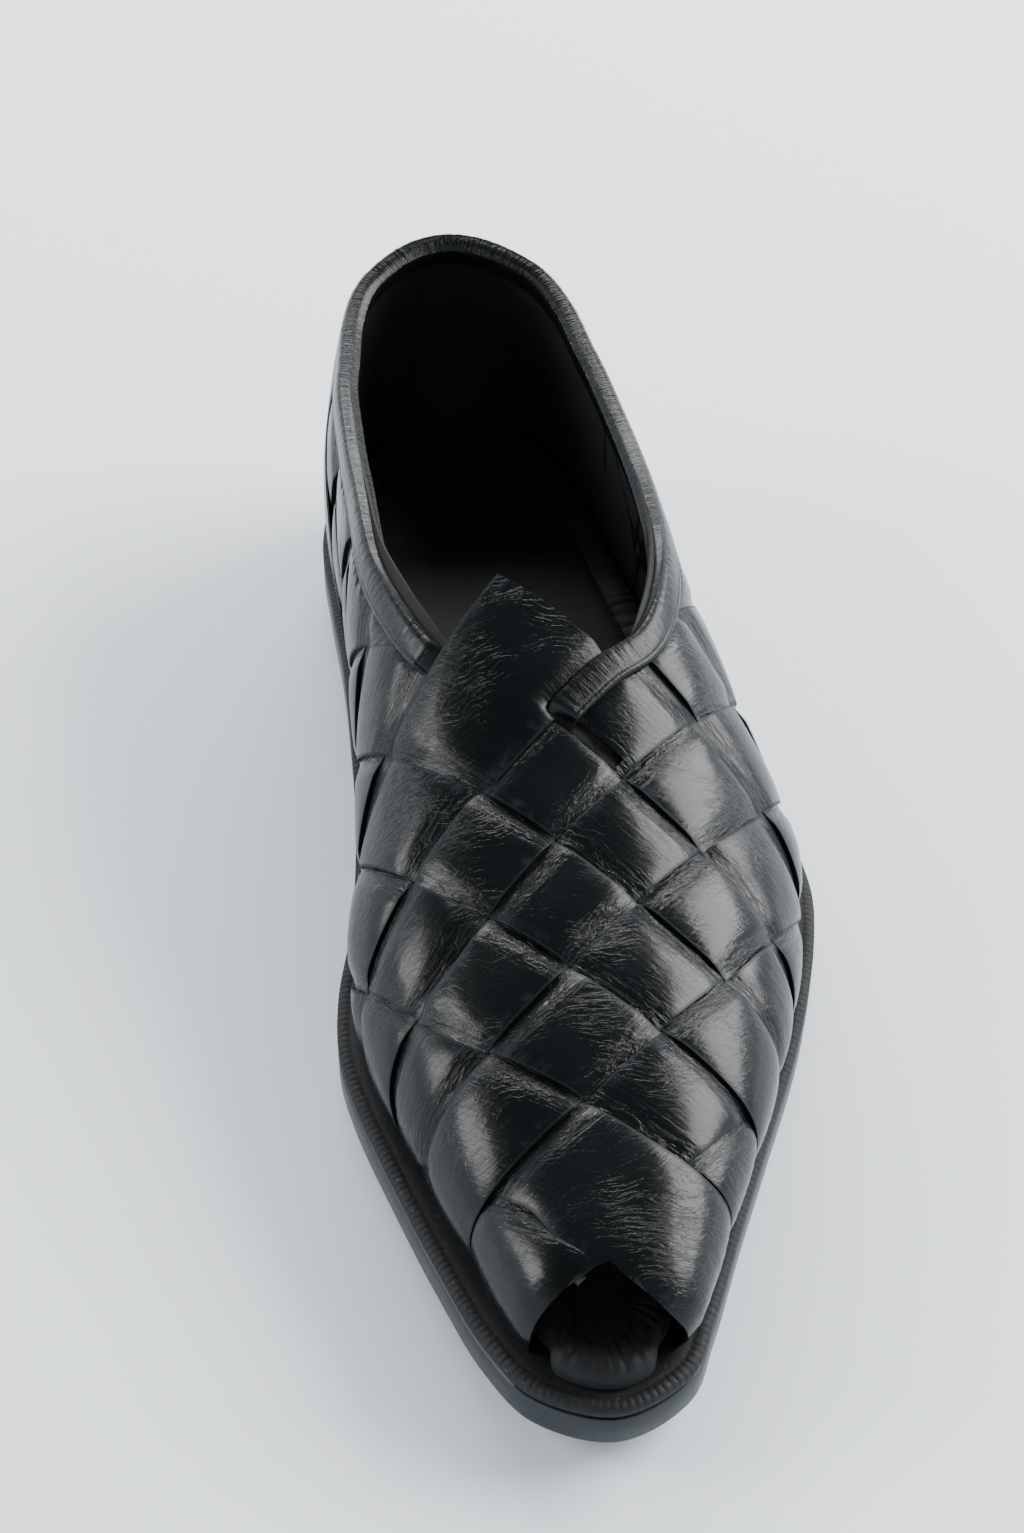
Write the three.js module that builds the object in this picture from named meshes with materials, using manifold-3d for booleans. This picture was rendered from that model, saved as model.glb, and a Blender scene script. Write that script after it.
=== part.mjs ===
// Woven open-toe leather jutti, the left shoe of a pair, in millimetres with +Z up.
// The toe points along -Y and the outer side of the foot is +X.

import * as THREE from "three";
import { mergeVertices } from "three/addons/utils/BufferGeometryUtils.js";
import Module from "manifold-3d";

const wasm = await Module();
wasm.setup();

// Driving dimensions of the last
const LENGTH = 304;
const BALL_WIDTH = 106;
const INSTEP_RISE = 54;
const BACK_RISE = 60;
const TOE_SPRING = 6.3;
const HEEL_LIFT = 9;

// Driving dimensions of the bottom
const OUTSOLE_THICKNESS = 7.5;
const WELT_THICKNESS = 3.2;
const WELT_REVEAL = 8;
const WELT_RING_WIDTH = 15;
const SOLE_EDGE_ROUND = 1;
const HEEL_INSET = 1.2;
const HEEL_TAPER = 1.5;
const INSOLE_RIM_RISE = 5.2;
const INSOLE_BED_RISE = 4.2;
const INSOLE_RIM_WIDTH = 10;
const INSOLE_ROUND = 1.8;

// Driving dimensions of the leather
const LINING_WALL = 1.5;
const STRIP_THICKNESS = 1.3;
const STRIP_ROOT = 0.6;
const STRIP_TUCK = 1.2;
const BINDING_WIDTH = 9;
const BINDING_INSIDE = 7;
const BINDING_LEATHER = 1.1;
const BINDING_STAND = 0.5;
const BINDING_ROUND = 1.2;
const BINDING_SHOULDER = 0.7;
const BINDING_CLEAR_OF_TONGUE = 0.009;
const COUNTER_LEATHER = 1.6;
const FIT = 0.3;
const CURVE_FIT = 0.36;

// Weave: the pitch along the ridge is one diamond, the spread is the same diamond measured across
const WEAVE_PITCH = 28.9;
const WEAVE_SPREAD = 29.5;
const SPREAD_GROWTH = 0.054;
const TOE_WIDENING = { medial: 0.47, lateral: 0.2 };
const WIDENING_START = 1.73;
const WIDENING_LENGTH = 2.25;
const WIDENING_POWER = 0.84;
const TONGUE_WIDTH = 1.4;
const TONGUE_LENGTH = 0.95;
const QUARTER_STEP = 1.15;
const QUARTER_SLOT = 0.14;
const OPENING_DIAMOND = 4;

// How finely the curved pieces are faceted
const SHELL_STATIONS = 44;
const SHELL_LEVELS = 12;
const OUTLINE_STATIONS = 36;
const BINDING_STATIONS = 20;
const LOOKUP_STATIONS = 240;
const LOOKUP_LEVELS = 40;
const TONGUE_STEPS = 4;
const CLEAR_OF_ALL = 200;
const FACET_TOLERANCE = 0.05;
const MERGE_WITHIN = 1e-4;
const LEAST_SINE = 1e-4;
const NORMAL_STEP = 0.004;
const BISECTIONS = 30;

// Stations along the shoe as shares of the length from the toe tip
const THROAT_AT = 0.444;
const BALL_FRONT_AT = 0.303;
const WAIST_START_AT = 0.418;
const SEAT_START_AT = 0.697;
const HEEL_BREAST_AT = 0.725;
const TOE_TIP_SIDE = -0.07;
const SPRING_POWER = 1.8;

// Sole outline: medial and lateral are side positions as shares of the ball width
const OUTLINE_COLUMNS = ["at", "medial", "lateral"];
const OUTLINE = table(OUTLINE_COLUMNS, [
  [0.022, -0.205, 0.066],
  [0.062, -0.272, 0.130],
  [0.128, -0.332, 0.217],
  [0.200, -0.387, 0.316],
  [0.270, -0.435, 0.413],
  [0.315, -0.452, 0.466],
  [0.365, -0.440, 0.515],
  [0.420, -0.404, 0.548],
  [0.475, -0.376, 0.539],
  [0.540, -0.356, 0.500],
  [0.610, -0.345, 0.457],
  [0.690, -0.340, 0.415],
  [0.770, -0.345, 0.379],
  [0.850, -0.342, 0.345],
  [0.920, -0.290, 0.296],
  [0.975, -0.185, 0.196],
]);

// Sections of the last. around: share of the outline's length from the toe tip. crestAt, crestRise
// and crestSide place the crest as shares of the length, the instep rise and the ball width. reveal is
// the share of the welt's reveal. bulge and shoulder are the outward pulls at the foot and at the
// crest as shares of the ball width, and climb is the upward pull as a share of the instep rise.
const SECTION_COLUMNS = ["around", "crestAt", "crestRise", "crestSide",
  "medialReveal", "medialBulge", "medialClimb", "medialShoulder",
  "lateralReveal", "lateralBulge", "lateralClimb", "lateralShoulder"];
const SECTIONS = table(SECTION_COLUMNS, [
  [0.00, 0.085, 0.39, -0.066, 1.00, 0.028, 0.26, 0.075, 1.00, 0.028, 0.26, 0.075],
  [0.06, 0.090, 0.40, -0.064, 0.91, 0.047, 0.26, 0.090, 0.71, 0.092, 0.30, 0.104],
  [0.13, 0.150, 0.48, -0.054, 0.78, 0.063, 0.29, 0.120, 0.50, 0.117, 0.35, 0.137],
  [0.22, 0.225, 0.60, -0.040, 0.69, 0.077, 0.37, 0.160, 0.41, 0.127, 0.40, 0.177],
  [0.31, 0.310, 0.71, -0.025, 0.65, 0.083, 0.44, 0.192, 0.47, 0.105, 0.43, 0.217],
  [0.40, 0.400, 0.85, -0.009, 0.56, 0.096, 0.56, 0.215, 0.54, 0.070, 0.45, 0.248],
  [0.49, 0.490, 1.04, 0.008, 0.41, 0.092, 0.67, 0.233, 0.54, 0.033, 0.54, 0.278],
  [0.59, 0.590, 1.17, 0.015, 0.30, 0.080, 0.83, 0.241, 0.53, 0.014, 0.70, 0.288],
  [0.70, 0.680, 1.28, 0.015, 0.25, 0.047, 1.02, 0.222, 0.47, 0.030, 0.89, 0.269],
  [0.82, 0.760, 1.39, 0.013, 0.25, 0.033, 1.11, 0.232, 0.42, 0.051, 1.01, 0.274],
  [0.93, 0.790, 1.47, 0.004, 0.25, 0.120, 1.15, 0.325, 0.33, 0.120, 1.12, 0.345],
  [1.00, 0.800, 1.48, 0.000, 0.25, 0.193, 1.13, 0.358, 0.25, 0.193, 1.13, 0.358],
]);

// Collar line: height over the welt as a share of the back's rise
const COLLAR_COLUMNS = ["at", "rise"];
const COLLAR = table(COLLAR_COLUMNS, [
  [0.40, 0.890],
  [0.49, 0.875],
  [0.55, 0.843],
  [0.63, 0.792],
  [0.72, 0.783],
  [0.80, 0.807],
  [0.87, 0.850],
  [0.93, 0.908],
  [1.00, 0.990],
]);

const COLLAR_CUT_START = 0.4;
const COLLAR_CUT_END = 1.1;

// Flat end of the binding: its rows as shares of the tongue's length behind the throat, and how far it
// reaches past the tongue's edge as a share of a diamond
const THROAT_BAND_ROWS = [1.4, 1.2, 1, 0.75, 0.5, 0.25];
const THROAT_BAND_FRONT = 0.03;
const THROAT_BAND_OVERHANG = 0.05;

// Toe opening: share of the outline on each side where its edge lies, at a level of the wall
const OPENING_COLUMNS = ["level", "medial", "lateral"];
const TOE_OPENING = table(OPENING_COLUMNS, [
  [-0.12, 0.072, 0.058],
  [0.12, 0.064, 0.052],
  [0.34, 0.059, 0.043],
  [0.55, 0.048, 0.033],
  [0.68, 0.030, 0.020],
  [0.79, 0.001, 0.001],
]);
const OPENING_LEVELS = [-0.12, 0, 0.12, 0.24, 0.34, 0.45, 0.55, 0.62, 0.68, 0.74, 0.79];
const OPENING_FAN = [-1, -0.6, 0, 0.6, 1];
const OPENING_CUT_OUT = 5;
const OPENING_CUT_IN = 5;

// Insole at the toe: its reveal at the tip as a share of the welt's, and where it goes in under the
// upper as shares of the outline in front of the opening's edge
const INSOLE_TOE_REACH = 0.55;
const INSOLE_TUCK_START = 0.03;
const INSOLE_TUCK_END = 0.006;

// Counter: share of the outline where its front edge lies, at the foot and under the binding
const COUNTER_FRONT_FOOT = 0.715;
const COUNTER_FRONT_TOP = 0.835;
const COUNTER_STATIONS = 11;
const COUNTER_LEVELS = 7;
const COUNTER_FOOT_LEVEL = 0.012;

// Strip profile: how far along a run between two tucks, and how deep the leather has dipped there
const DIP_COLUMNS = ["along", "dip"];
const STRIP_DIP = table(DIP_COLUMNS, [
  [0, 0.9],
  [0.2, 0.18],
  [0.5, 0],
]);
const STRIP_CROWN = 0.15;
const LONG_RUN_STEP = 0.34;
const BAND_RANGE = { first: -6, last: 5 };

const MEDIAL = -1;
const LATERAL = 1;

// Heights over the outer face of the weave
const LINING_FACE = -STRIP_THICKNESS - LINING_WALL;
const STRIP_SPACING = (WEAVE_PITCH * WEAVE_SPREAD) / Math.hypot(WEAVE_PITCH, WEAVE_SPREAD);

const LEATHER = { color: 0x17191a, roughness: 0.32, metalness: 0 };
const SMOOTH_LEATHER = { color: 0x1c1e20, roughness: 0.26, metalness: 0 };
const LINING_LEATHER = { color: 0x121416, roughness: 0.7, metalness: 0 };
const WELT_RUBBER = { color: 0x0d0e0f, roughness: 0.8, metalness: 0 };
const SOLE_RUBBER = { color: 0x24282b, roughness: 0.45, metalness: 0 };

// Rows of numbers become rows with named columns
function table(columns, rows) {
  return rows.map((row) => Object.fromEntries(columns.map((name, i) => [name, row[i]])));
}

// Shape-preserving cubic slopes of one column of a table. They are level at both ends, so that the two
// sides of the shoe meet roundly over the tip and the back.
function slopes(xs, ys) {
  const last = xs.length - 1;
  const step = xs.slice(1).map((x, i) => x - xs[i]);
  const rate = ys.slice(1).map((y, i) => (y - ys[i]) / step[i]);
  return ys.map((_, i) => {
    if (i === 0 || i === last || rate[i - 1] * rate[i] <= 0) return 0;
    const before = 2 * step[i] + step[i - 1];
    const after = step[i] + 2 * step[i - 1];
    return (before + after) / (before / rate[i - 1] + after / rate[i]);
  });
}

// A smooth function through one column of a table
function smoothColumn(rows, key, column) {
  const xs = rows.map((row) => row[key]);
  const ys = rows.map((row) => row[column]);
  const ms = slopes(xs, ys);
  return (x) => {
    const at = THREE.MathUtils.clamp(x, xs[0], xs[xs.length - 1]);
    let i = 0;
    while (i < xs.length - 2 && at > xs[i + 1]) i += 1;
    const h = xs[i + 1] - xs[i];
    const t = (at - xs[i]) / h;
    const rest = 1 - t;
    const start = (1 + 2 * t) * rest * rest * ys[i] + t * rest * rest * h * ms[i];
    return start + t * t * (3 - 2 * t) * ys[i + 1] - t * t * rest * h * ms[i + 1];
  };
}

const section = Object.fromEntries(
  SECTION_COLUMNS.slice(1).map((column) => [column, smoothColumn(SECTIONS, "around", column)]),
);
const collarRise = smoothColumn(COLLAR, "at", "rise");
const openingEdge = {
  [MEDIAL]: smoothColumn(TOE_OPENING, "level", "medial"),
  [LATERAL]: smoothColumn(TOE_OPENING, "level", "lateral"),
};

const along = (at) => (at - 0.5) * LENGTH;
const sideName = (side) => (side === MEDIAL ? "medial" : "lateral");

// Height of the sole's underside: toe spring, a flat tread, the arch, then the flat seat
function lift(y) {
  const toe = THREE.MathUtils.clamp((along(BALL_FRONT_AT) - y) / (BALL_FRONT_AT * LENGTH), 0, 1);
  const arch = THREE.MathUtils.smoothstep(y, along(WAIST_START_AT), along(SEAT_START_AT));
  return TOE_SPRING * toe ** SPRING_POWER + HEEL_LIFT * arch;
}

const weltTop = (y) => lift(y) + OUTSOLE_THICKNESS + FIT + WELT_THICKNESS;
const feather = (y) => weltTop(y) + FIT;

// The sole's outline, split at the toe tip and the back of the seat into two halves that are
// walked by their share of arc length
function halfOutlines() {
  const toe = new THREE.Vector3(TOE_TIP_SIDE * BALL_WIDTH, along(0), 0);
  const back = new THREE.Vector3(0, along(1), 0);
  const lateral = OUTLINE.map((row) => new THREE.Vector3(row.lateral * BALL_WIDTH, along(row.at), 0));
  const medial = OUTLINE.map((row) => new THREE.Vector3(row.medial * BALL_WIDTH, along(row.at), 0));
  const knots = [toe, ...lateral, back, ...medial.reverse()];
  const closed = new THREE.CatmullRomCurve3(knots, true, "centripetal");
  const half = (side) => {
    const points = Array.from({ length: 2 * LOOKUP_STATIONS + 1 }, (_, i) => {
      const share = i / (4 * LOOKUP_STATIONS);
      return closed.getPoint(side === LATERAL ? share : 1 - share);
    });
    const lengths = [0];
    points.slice(1).forEach((p, i) => lengths.push(lengths[i] + p.distanceTo(points[i])));
    return { points, lengths };
  };
  return { [MEDIAL]: half(MEDIAL), [LATERAL]: half(LATERAL) };
}

const halves = halfOutlines();

// Linear look-up of y at x in a rising list
function lookUp(xs, x) {
  let low = 0;
  let high = xs.length - 1;
  while (high - low > 1) {
    const middle = (low + high) >> 1;
    if (xs[middle] <= x) low = middle;
    else high = middle;
  }
  return { index: low, share: (x - xs[low]) / (xs[high] - xs[low]) };
}

function outlinePoint(side, around) {
  const { points, lengths } = halves[side];
  const total = lengths[lengths.length - 1];
  const { index, share } = lookUp(lengths, THREE.MathUtils.clamp(around, 0, 1) * total);
  return points[index].clone().lerp(points[index + 1], share);
}

// Outward direction of the outline in plan, continued over the tip and the back
function outlineNormal(side, around) {
  const step = 1 / LOOKUP_STATIONS;
  const point = (a) => {
    if (a < 0) return outlinePoint(-side, -a);
    return a > 1 ? outlinePoint(-side, 2 - a) : outlinePoint(side, a);
  };
  const run = point(around + step).sub(point(around - step));
  return new THREE.Vector3(run.y, -run.x, 0).multiplyScalar(side).normalize();
}

// A point of the upper's outer face: level 0 is at the foot and level 1 on the crest of the last
function lastPoint(side, around, level) {
  const name = sideName(side);
  const out = outlineNormal(side, around);
  const foot = outlinePoint(side, around);
  foot.addScaledVector(out, -section[`${name}Reveal`](around) * WELT_REVEAL);
  foot.z = feather(foot.y);
  const crestAside = section.crestSide(around) * BALL_WIDTH;
  const crest = new THREE.Vector3(crestAside, along(section.crestAt(around)), 0);
  crest.z = weltTop(crest.y) + section.crestRise(around) * INSTEP_RISE;
  const spread = new THREE.Vector3(foot.x - crest.x, foot.y - crest.y, 0).normalize();
  const rise = foot.clone().addScaledVector(out, section[`${name}Bulge`](around) * BALL_WIDTH);
  rise.z += section[`${name}Climb`](around) * INSTEP_RISE;
  const shoulder = crest.clone().addScaledVector(spread, section[`${name}Shoulder`](around) * BALL_WIDTH);
  return new THREE.CubicBezierCurve3(foot, rise, shoulder, crest).getPoint(level);
}

// The same point, where a step past the tip, the back or the crest goes on at the other side
function walkedPoint(side, around, level) {
  if (around < 0) return walkedPoint(-side, -around, level);
  if (around > 1) return walkedPoint(-side, 2 - around, level);
  if (level > 1) return lastPoint(-side, around, 2 - level);
  return lastPoint(side, around, level);
}

function lastNormal(side, around, level) {
  const ahead = walkedPoint(side, around + NORMAL_STEP, level);
  const run = ahead.sub(walkedPoint(side, around - NORMAL_STEP, level));
  const above = walkedPoint(side, around, level + NORMAL_STEP);
  const climb = above.sub(walkedPoint(side, around, level - NORMAL_STEP));
  return run.cross(climb).multiplyScalar(side).normalize();
}

function offsetPoint(side, around, level, height) {
  return lastPoint(side, around, level).addScaledVector(lastNormal(side, around, level), height);
}

// For each station: its crest's distance along the ridge, its heading and its arc lengths, so that the
// weave can be laid out like cloth over the ridge
function developSide(side) {
  const stations = [];
  let ridge = 0;
  let crestBefore = null;
  for (let i = 0; i <= LOOKUP_STATIONS; i += 1) {
    const around = i / LOOKUP_STATIONS;
    const points = Array.from({ length: LOOKUP_LEVELS + 1 }, (_, j) => (
      lastPoint(side, around, 1 - j / LOOKUP_LEVELS)
    ));
    const arcs = [0];
    points.slice(1).forEach((p, j) => arcs.push(arcs[j] + p.distanceTo(points[j])));
    const crest = points[0];
    const foot = points[LOOKUP_LEVELS];
    if (crestBefore) ridge += crest.distanceTo(crestBefore);
    crestBefore = crest;
    const heading = Math.atan2(Math.abs(foot.x - crest.x), crest.y - foot.y);
    stations.push({ around, ridge, heading, arcs, crestY: crest.y });
  }
  const ys = stations.map((station) => station.crestY);
  const throat = lookUp(ys, along(THROAT_AT));
  const { ridge: before } = stations[throat.index];
  const { ridge: after } = stations[throat.index + 1];
  const origin = before + (after - before) * throat.share;
  return stations.map((station) => ({ ...station, forward: origin - station.ridge }));
}

const developed = { [MEDIAL]: developSide(MEDIAL), [LATERAL]: developSide(LATERAL) };

// Where a point of the laid-out cloth lies on the last: aside from the ridge and forward of the throat
function placeOnLast(aside, forward) {
  const side = aside < 0 ? MEDIAL : LATERAL;
  const stations = developed[side];
  const distance = Math.abs(aside);
  const miss = (station) => {
    const sine = Math.max(Math.sin(station.heading), LEAST_SINE);
    return station.forward + (distance * Math.cos(station.heading)) / sine - forward;
  };
  let low = 0;
  let high = stations.length - 1;
  while (high - low > 1) {
    const middle = (low + high) >> 1;
    if (miss(stations[middle]) > 0) low = middle;
    else high = middle;
  }
  const missLow = miss(stations[low]);
  const share = THREE.MathUtils.clamp(missLow / (missLow - miss(stations[high])), 0, 1);
  const mix = (pick) => pick(stations[low]) * (1 - share) + pick(stations[high]) * share;
  const arc = Math.hypot(distance, forward - mix((station) => station.forward));
  const around = mix((station) => station.around);
  const full = mix((station) => station.arcs[LOOKUP_LEVELS]);
  const nearest = stations[share < 0.5 ? low : high];
  const scaled = (arc * nearest.arcs[LOOKUP_LEVELS]) / full;
  const { index, share: part } = lookUp(nearest.arcs, Math.min(scaled, nearest.arcs[LOOKUP_LEVELS]));
  return { side, around, level: 1 - (index + part) / LOOKUP_LEVELS, past: Math.max(0, arc - full) };
}

// A point over the weave, height above the outer face; past the foot it goes straight on down
function weavePoint(acrossB, acrossA, height) {
  const column = (acrossB - acrossA) / 2;
  const row = (acrossB + acrossA) / 2;
  const widening = TOE_WIDENING[sideName(column < 0 ? MEDIAL : LATERAL)];
  const reach = THREE.MathUtils.clamp((row - WIDENING_START) / WIDENING_LENGTH, 0, 2);
  const spread = WEAVE_SPREAD * column * (1 + SPREAD_GROWTH * Math.abs(column));
  const place = placeOnLast(spread * (1 + widening * reach ** WIDENING_POWER), row * WEAVE_PITCH);
  const point = offsetPoint(place.side, place.around, place.level, height);
  if (place.past > 0) {
    const foot = lastPoint(place.side, place.around, 0);
    const down = foot.sub(lastPoint(place.side, place.around, NORMAL_STEP)).normalize();
    point.addScaledVector(down, place.past);
  }
  return { point, place };
}

// Indexed geometry from shared corner points and triangles
function geometryOf(points, triangles) {
  const geometry = new THREE.BufferGeometry();
  const numbers = points.flatMap((p) => [p.x, p.y, p.z]);
  geometry.setAttribute("position", new THREE.Float32BufferAttribute(numbers, 3));
  geometry.setIndex(triangles);
  return geometry;
}

function signedVolume(vertices, triangles) {
  const corner = (i) => new THREE.Vector3().fromArray(vertices, 3 * i);
  let volume = 0;
  for (let i = 0; i < triangles.length; i += 3) {
    volume += corner(triangles[i]).dot(corner(triangles[i + 1]).cross(corner(triangles[i + 2])));
  }
  return volume / 6;
}

// A manifold solid from a closed geometry, whichever way its faces were wound
function solid(geometry) {
  geometry.deleteAttribute("normal");
  geometry.deleteAttribute("uv");
  const merged = mergeVertices(geometry, MERGE_WITHIN);
  const vertices = Float32Array.from(merged.attributes.position.array);
  const corners = Array.from(merged.index.array);
  const kept = [];
  for (let i = 0; i < corners.length; i += 3) {
    const [a, b, c] = corners.slice(i, i + 3);
    if (a !== b && b !== c && c !== a) kept.push(a, b, c);
  }
  if (signedVolume(vertices, kept) < 0) kept.reverse();
  const triVerts = Uint32Array.from(kept);
  return new wasm.Manifold(new wasm.Mesh({ numProp: 3, vertProperties: vertices, triVerts }));
}

// The body itself, without crumbs of no volume left where faces met
function largestBody(body) {
  return body.decompose().reduce((most, next) => (next.volume() > most.volume() ? next : most));
}

function geometryFromSolid(body) {
  const { vertProperties, triVerts } = body.getMesh();
  const geometry = new THREE.BufferGeometry();
  geometry.setAttribute("position", new THREE.BufferAttribute(Float32Array.from(vertProperties), 3));
  geometry.setIndex(Array.from(triVerts));
  geometry.computeVertexNormals();
  return geometry;
}

// A closed slab between an outer and an inner grid of points. Folded ends meet themselves and need no
// rim.
function slab(outer, inner, foldedEnds = false) {
  const rows = outer.length;
  const columns = outer[0].length;
  const points = [...outer.flat(), ...inner.flat()];
  const at = (layer, i, j) => layer * rows * columns + i * columns + j;
  const triangles = [];
  const quad = (a, b, c, d) => triangles.push(a, b, c, a, c, d);
  for (let i = 0; i < rows - 1; i += 1) {
    for (let j = 0; j < columns - 1; j += 1) {
      quad(at(0, i, j), at(0, i, j + 1), at(0, i + 1, j + 1), at(0, i + 1, j));
      quad(at(1, i, j), at(1, i + 1, j), at(1, i + 1, j + 1), at(1, i, j + 1));
    }
    quad(at(0, i, 0), at(0, i + 1, 0), at(1, i + 1, 0), at(1, i, 0));
    const far = columns - 1;
    quad(at(0, i + 1, far), at(0, i, far), at(1, i, far), at(1, i + 1, far));
  }
  for (let j = 0; !foldedEnds && j < columns - 1; j += 1) {
    quad(at(0, 0, j + 1), at(0, 0, j), at(1, 0, j), at(1, 0, j + 1));
    const end = rows - 1;
    quad(at(0, end, j), at(0, end, j + 1), at(1, end, j + 1), at(1, end, j));
  }
  return geometryOf(points, triangles);
}

// The last's surface from foot to foot over the crest, as a wall between two heights
function lastShell(outerHeight, innerHeight) {
  const grid = (height) => Array.from({ length: SHELL_STATIONS + 1 }, (_, i) => {
    const around = i / SHELL_STATIONS;
    return Array.from({ length: 2 * SHELL_LEVELS + 1 }, (_, j) => {
      const side = j < SHELL_LEVELS ? MEDIAL : LATERAL;
      const level = 1 - Math.abs(j - SHELL_LEVELS) / SHELL_LEVELS;
      return offsetPoint(side, around, level, height);
    });
  });
  return solid(slab(grid(outerHeight), grid(innerHeight), true));
}

// How deep a strip has dipped at a share of one crossing from its nearer tuck
function stripDip(share) {
  const xs = STRIP_DIP.map((row) => row.along);
  const { index, share: part } = lookUp(xs, Math.min(share, xs[xs.length - 1]));
  return THREE.MathUtils.lerp(STRIP_DIP[index].dip, STRIP_DIP[index + 1].dip, part);
}

// Limits of one band of the weave, counted in diamonds across it. Behind the throat the bands are as
// wide as the tongue on the medial side, a little narrower on the lateral side, and parted by slots.
function bandLimits(family, index) {
  if (index >= 0) return [index, index + 1];
  const step = family === "B" ? TONGUE_WIDTH : QUARTER_STEP;
  if (index === -1) return [-step, 0];
  const near = (index + 1) * step;
  return [near - step, near - QUARTER_SLOT];
}

// Which family lies on top where band b of family B crosses band a of family A
function topFamily(b, a) {
  if (a === -1 && b === -1) return "B";
  if (b >= OPENING_DIAMOND) return "A";
  if (a >= OPENING_DIAMOND) return "B";
  return (b - a) % 2 === 0 ? "A" : "B";
}

// Every stretch of a band that lies on top between two tucks, as ranges of crossed bands
function topRuns(family, index) {
  const runs = [];
  let open = null;
  for (let other = BAND_RANGE.first; other <= BAND_RANGE.last + 1; other += 1) {
    const top = family === "A" ? topFamily(other, index) : topFamily(index, other);
    const onTop = other <= BAND_RANGE.last && top === family;
    if (onTop && open === null) open = other;
    if (!onTop && open !== null) {
      runs.push([open, other - 1]);
      open = null;
    }
  }
  return runs;
}

// One visible stretch of a strip: raised along its middle, dipped where it goes under its neighbours
function stripRun(family, index, [first, last]) {
  const other = family === "A" ? "B" : "A";
  const isTongue = family === "B" && index === -1 && first === -1;
  const tuck = STRIP_TUCK / WEAVE_PITCH;
  const from = isTongue ? -TONGUE_LENGTH : bandLimits(other, first - 1)[1] - tuck;
  const to = bandLimits(other, last + 1)[0] + tuck;
  const [left, right] = bandLimits(family, index);
  const steps = Math.max(4, Math.round((to - from) / LONG_RUN_STEP));
  const cell = 1 / (last - first + 1);
  const ends = [0, STRIP_DIP[1].along * cell];
  const inside = Array.from({ length: steps - 3 }, (_, i) => (i + 1) / (steps - 2));
  const shares = [...ends, ...inside, ...ends.map((end) => 1 - end).reverse()];
  const heightAt = (share) => {
    const near = isTongue ? 1 - share : Math.min(share, 1 - share);
    return -stripDip(near / cell);
  };
  const row = (share, height) => [0, 0.5, 1].map((across) => {
    const u = from + (to - from) * share;
    const v = left + (right - left) * across;
    const crown = across === 0.5 ? STRIP_CROWN : 0;
    const b = family === "A" ? u : v;
    const a = family === "A" ? v : u;
    return weavePoint(b, a, height === null ? heightAt(share) + crown - STRIP_CROWN : height);
  });
  const outer = shares.map((share) => row(share, null));
  const inner = shares.map((share) => row(share, -STRIP_THICKNESS - STRIP_ROOT));
  const shows = ({ place }) => place.past === 0 && place.around < COUNTER_FRONT_TOP;
  const used = outer.some((line) => line.some(shows));
  if (!used) return null;
  const points = (grid) => grid.map((line) => line.map(({ point }) => point));
  return solid(slab(points(outer), points(inner)));
}

function wovenStrips() {
  const tiles = [];
  for (const family of ["A", "B"]) {
    for (let index = BAND_RANGE.first; index < OPENING_DIAMOND; index += 1) {
      topRuns(family, index).forEach((run) => tiles.push(stripRun(family, index, run)));
    }
  }
  return wasm.Manifold.union(tiles.filter((tile) => tile !== null));
}

const collarHeight = (y) => weltTop(y) + collarRise(y / LENGTH + 0.5) * BACK_RISE;

// Level of the collar line on one side's section
function collarLevel(side, around) {
  let low = 0;
  let high = 1;
  for (let i = 0; i < BISECTIONS; i += 1) {
    const middle = (low + high) / 2;
    const point = lastPoint(side, around, middle);
    if (point.z < collarHeight(point.y)) low = middle;
    else high = middle;
  }
  return (low + high) / 2;
}

// Level that lies a distance below the collar line, measured over the leather
function levelBelowCollar(side, around, distance) {
  const top = collarLevel(side, around);
  const rim = lastPoint(side, around, top);
  let low = 0;
  let high = top;
  for (let i = 0; i < BISECTIONS; i += 1) {
    const middle = (low + high) / 2;
    if (lastPoint(side, around, middle).distanceTo(rim) > distance) low = middle;
    else high = middle;
  }
  return (low + high) / 2;
}

// An upright prism over a plan outline
function planPrism(outline) {
  const shape = new THREE.Shape(outline.map((p) => new THREE.Vector2(p.x, p.y)));
  return solid(new THREE.ExtrudeGeometry(shape, { depth: CLEAR_OF_ALL, bevelEnabled: false }));
}

// What the foot goes through: everything over the collar line, behind the tongue
function collarCut(margin) {
  const start = along(COLLAR_CUT_START);
  const end = along(COLLAR_CUT_END);
  const outline = [new THREE.Vector2(start, CLEAR_OF_ALL)];
  for (let i = 0; i <= SHELL_STATIONS; i += 1) {
    const y = THREE.MathUtils.lerp(start, end, i / SHELL_STATIONS);
    outline.push(new THREE.Vector2(y, collarHeight(y) - BINDING_LEATHER - 2 * CURVE_FIT + margin));
  }
  outline.push(new THREE.Vector2(end, CLEAR_OF_ALL));
  const across = { depth: 2 * BALL_WIDTH, bevelEnabled: false };
  const geometry = new THREE.ExtrudeGeometry(new THREE.Shape(outline), across);
  const axes = new THREE.Matrix4().makeBasis(
    new THREE.Vector3(0, 1, 0),
    new THREE.Vector3(0, 0, 1),
    new THREE.Vector3(1, 0, 0),
  );
  geometry.applyMatrix4(axes).translate(-BALL_WIDTH, 0, 0);
  return solid(geometry).subtract(planPrism(tongueOutline()));
}

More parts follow.
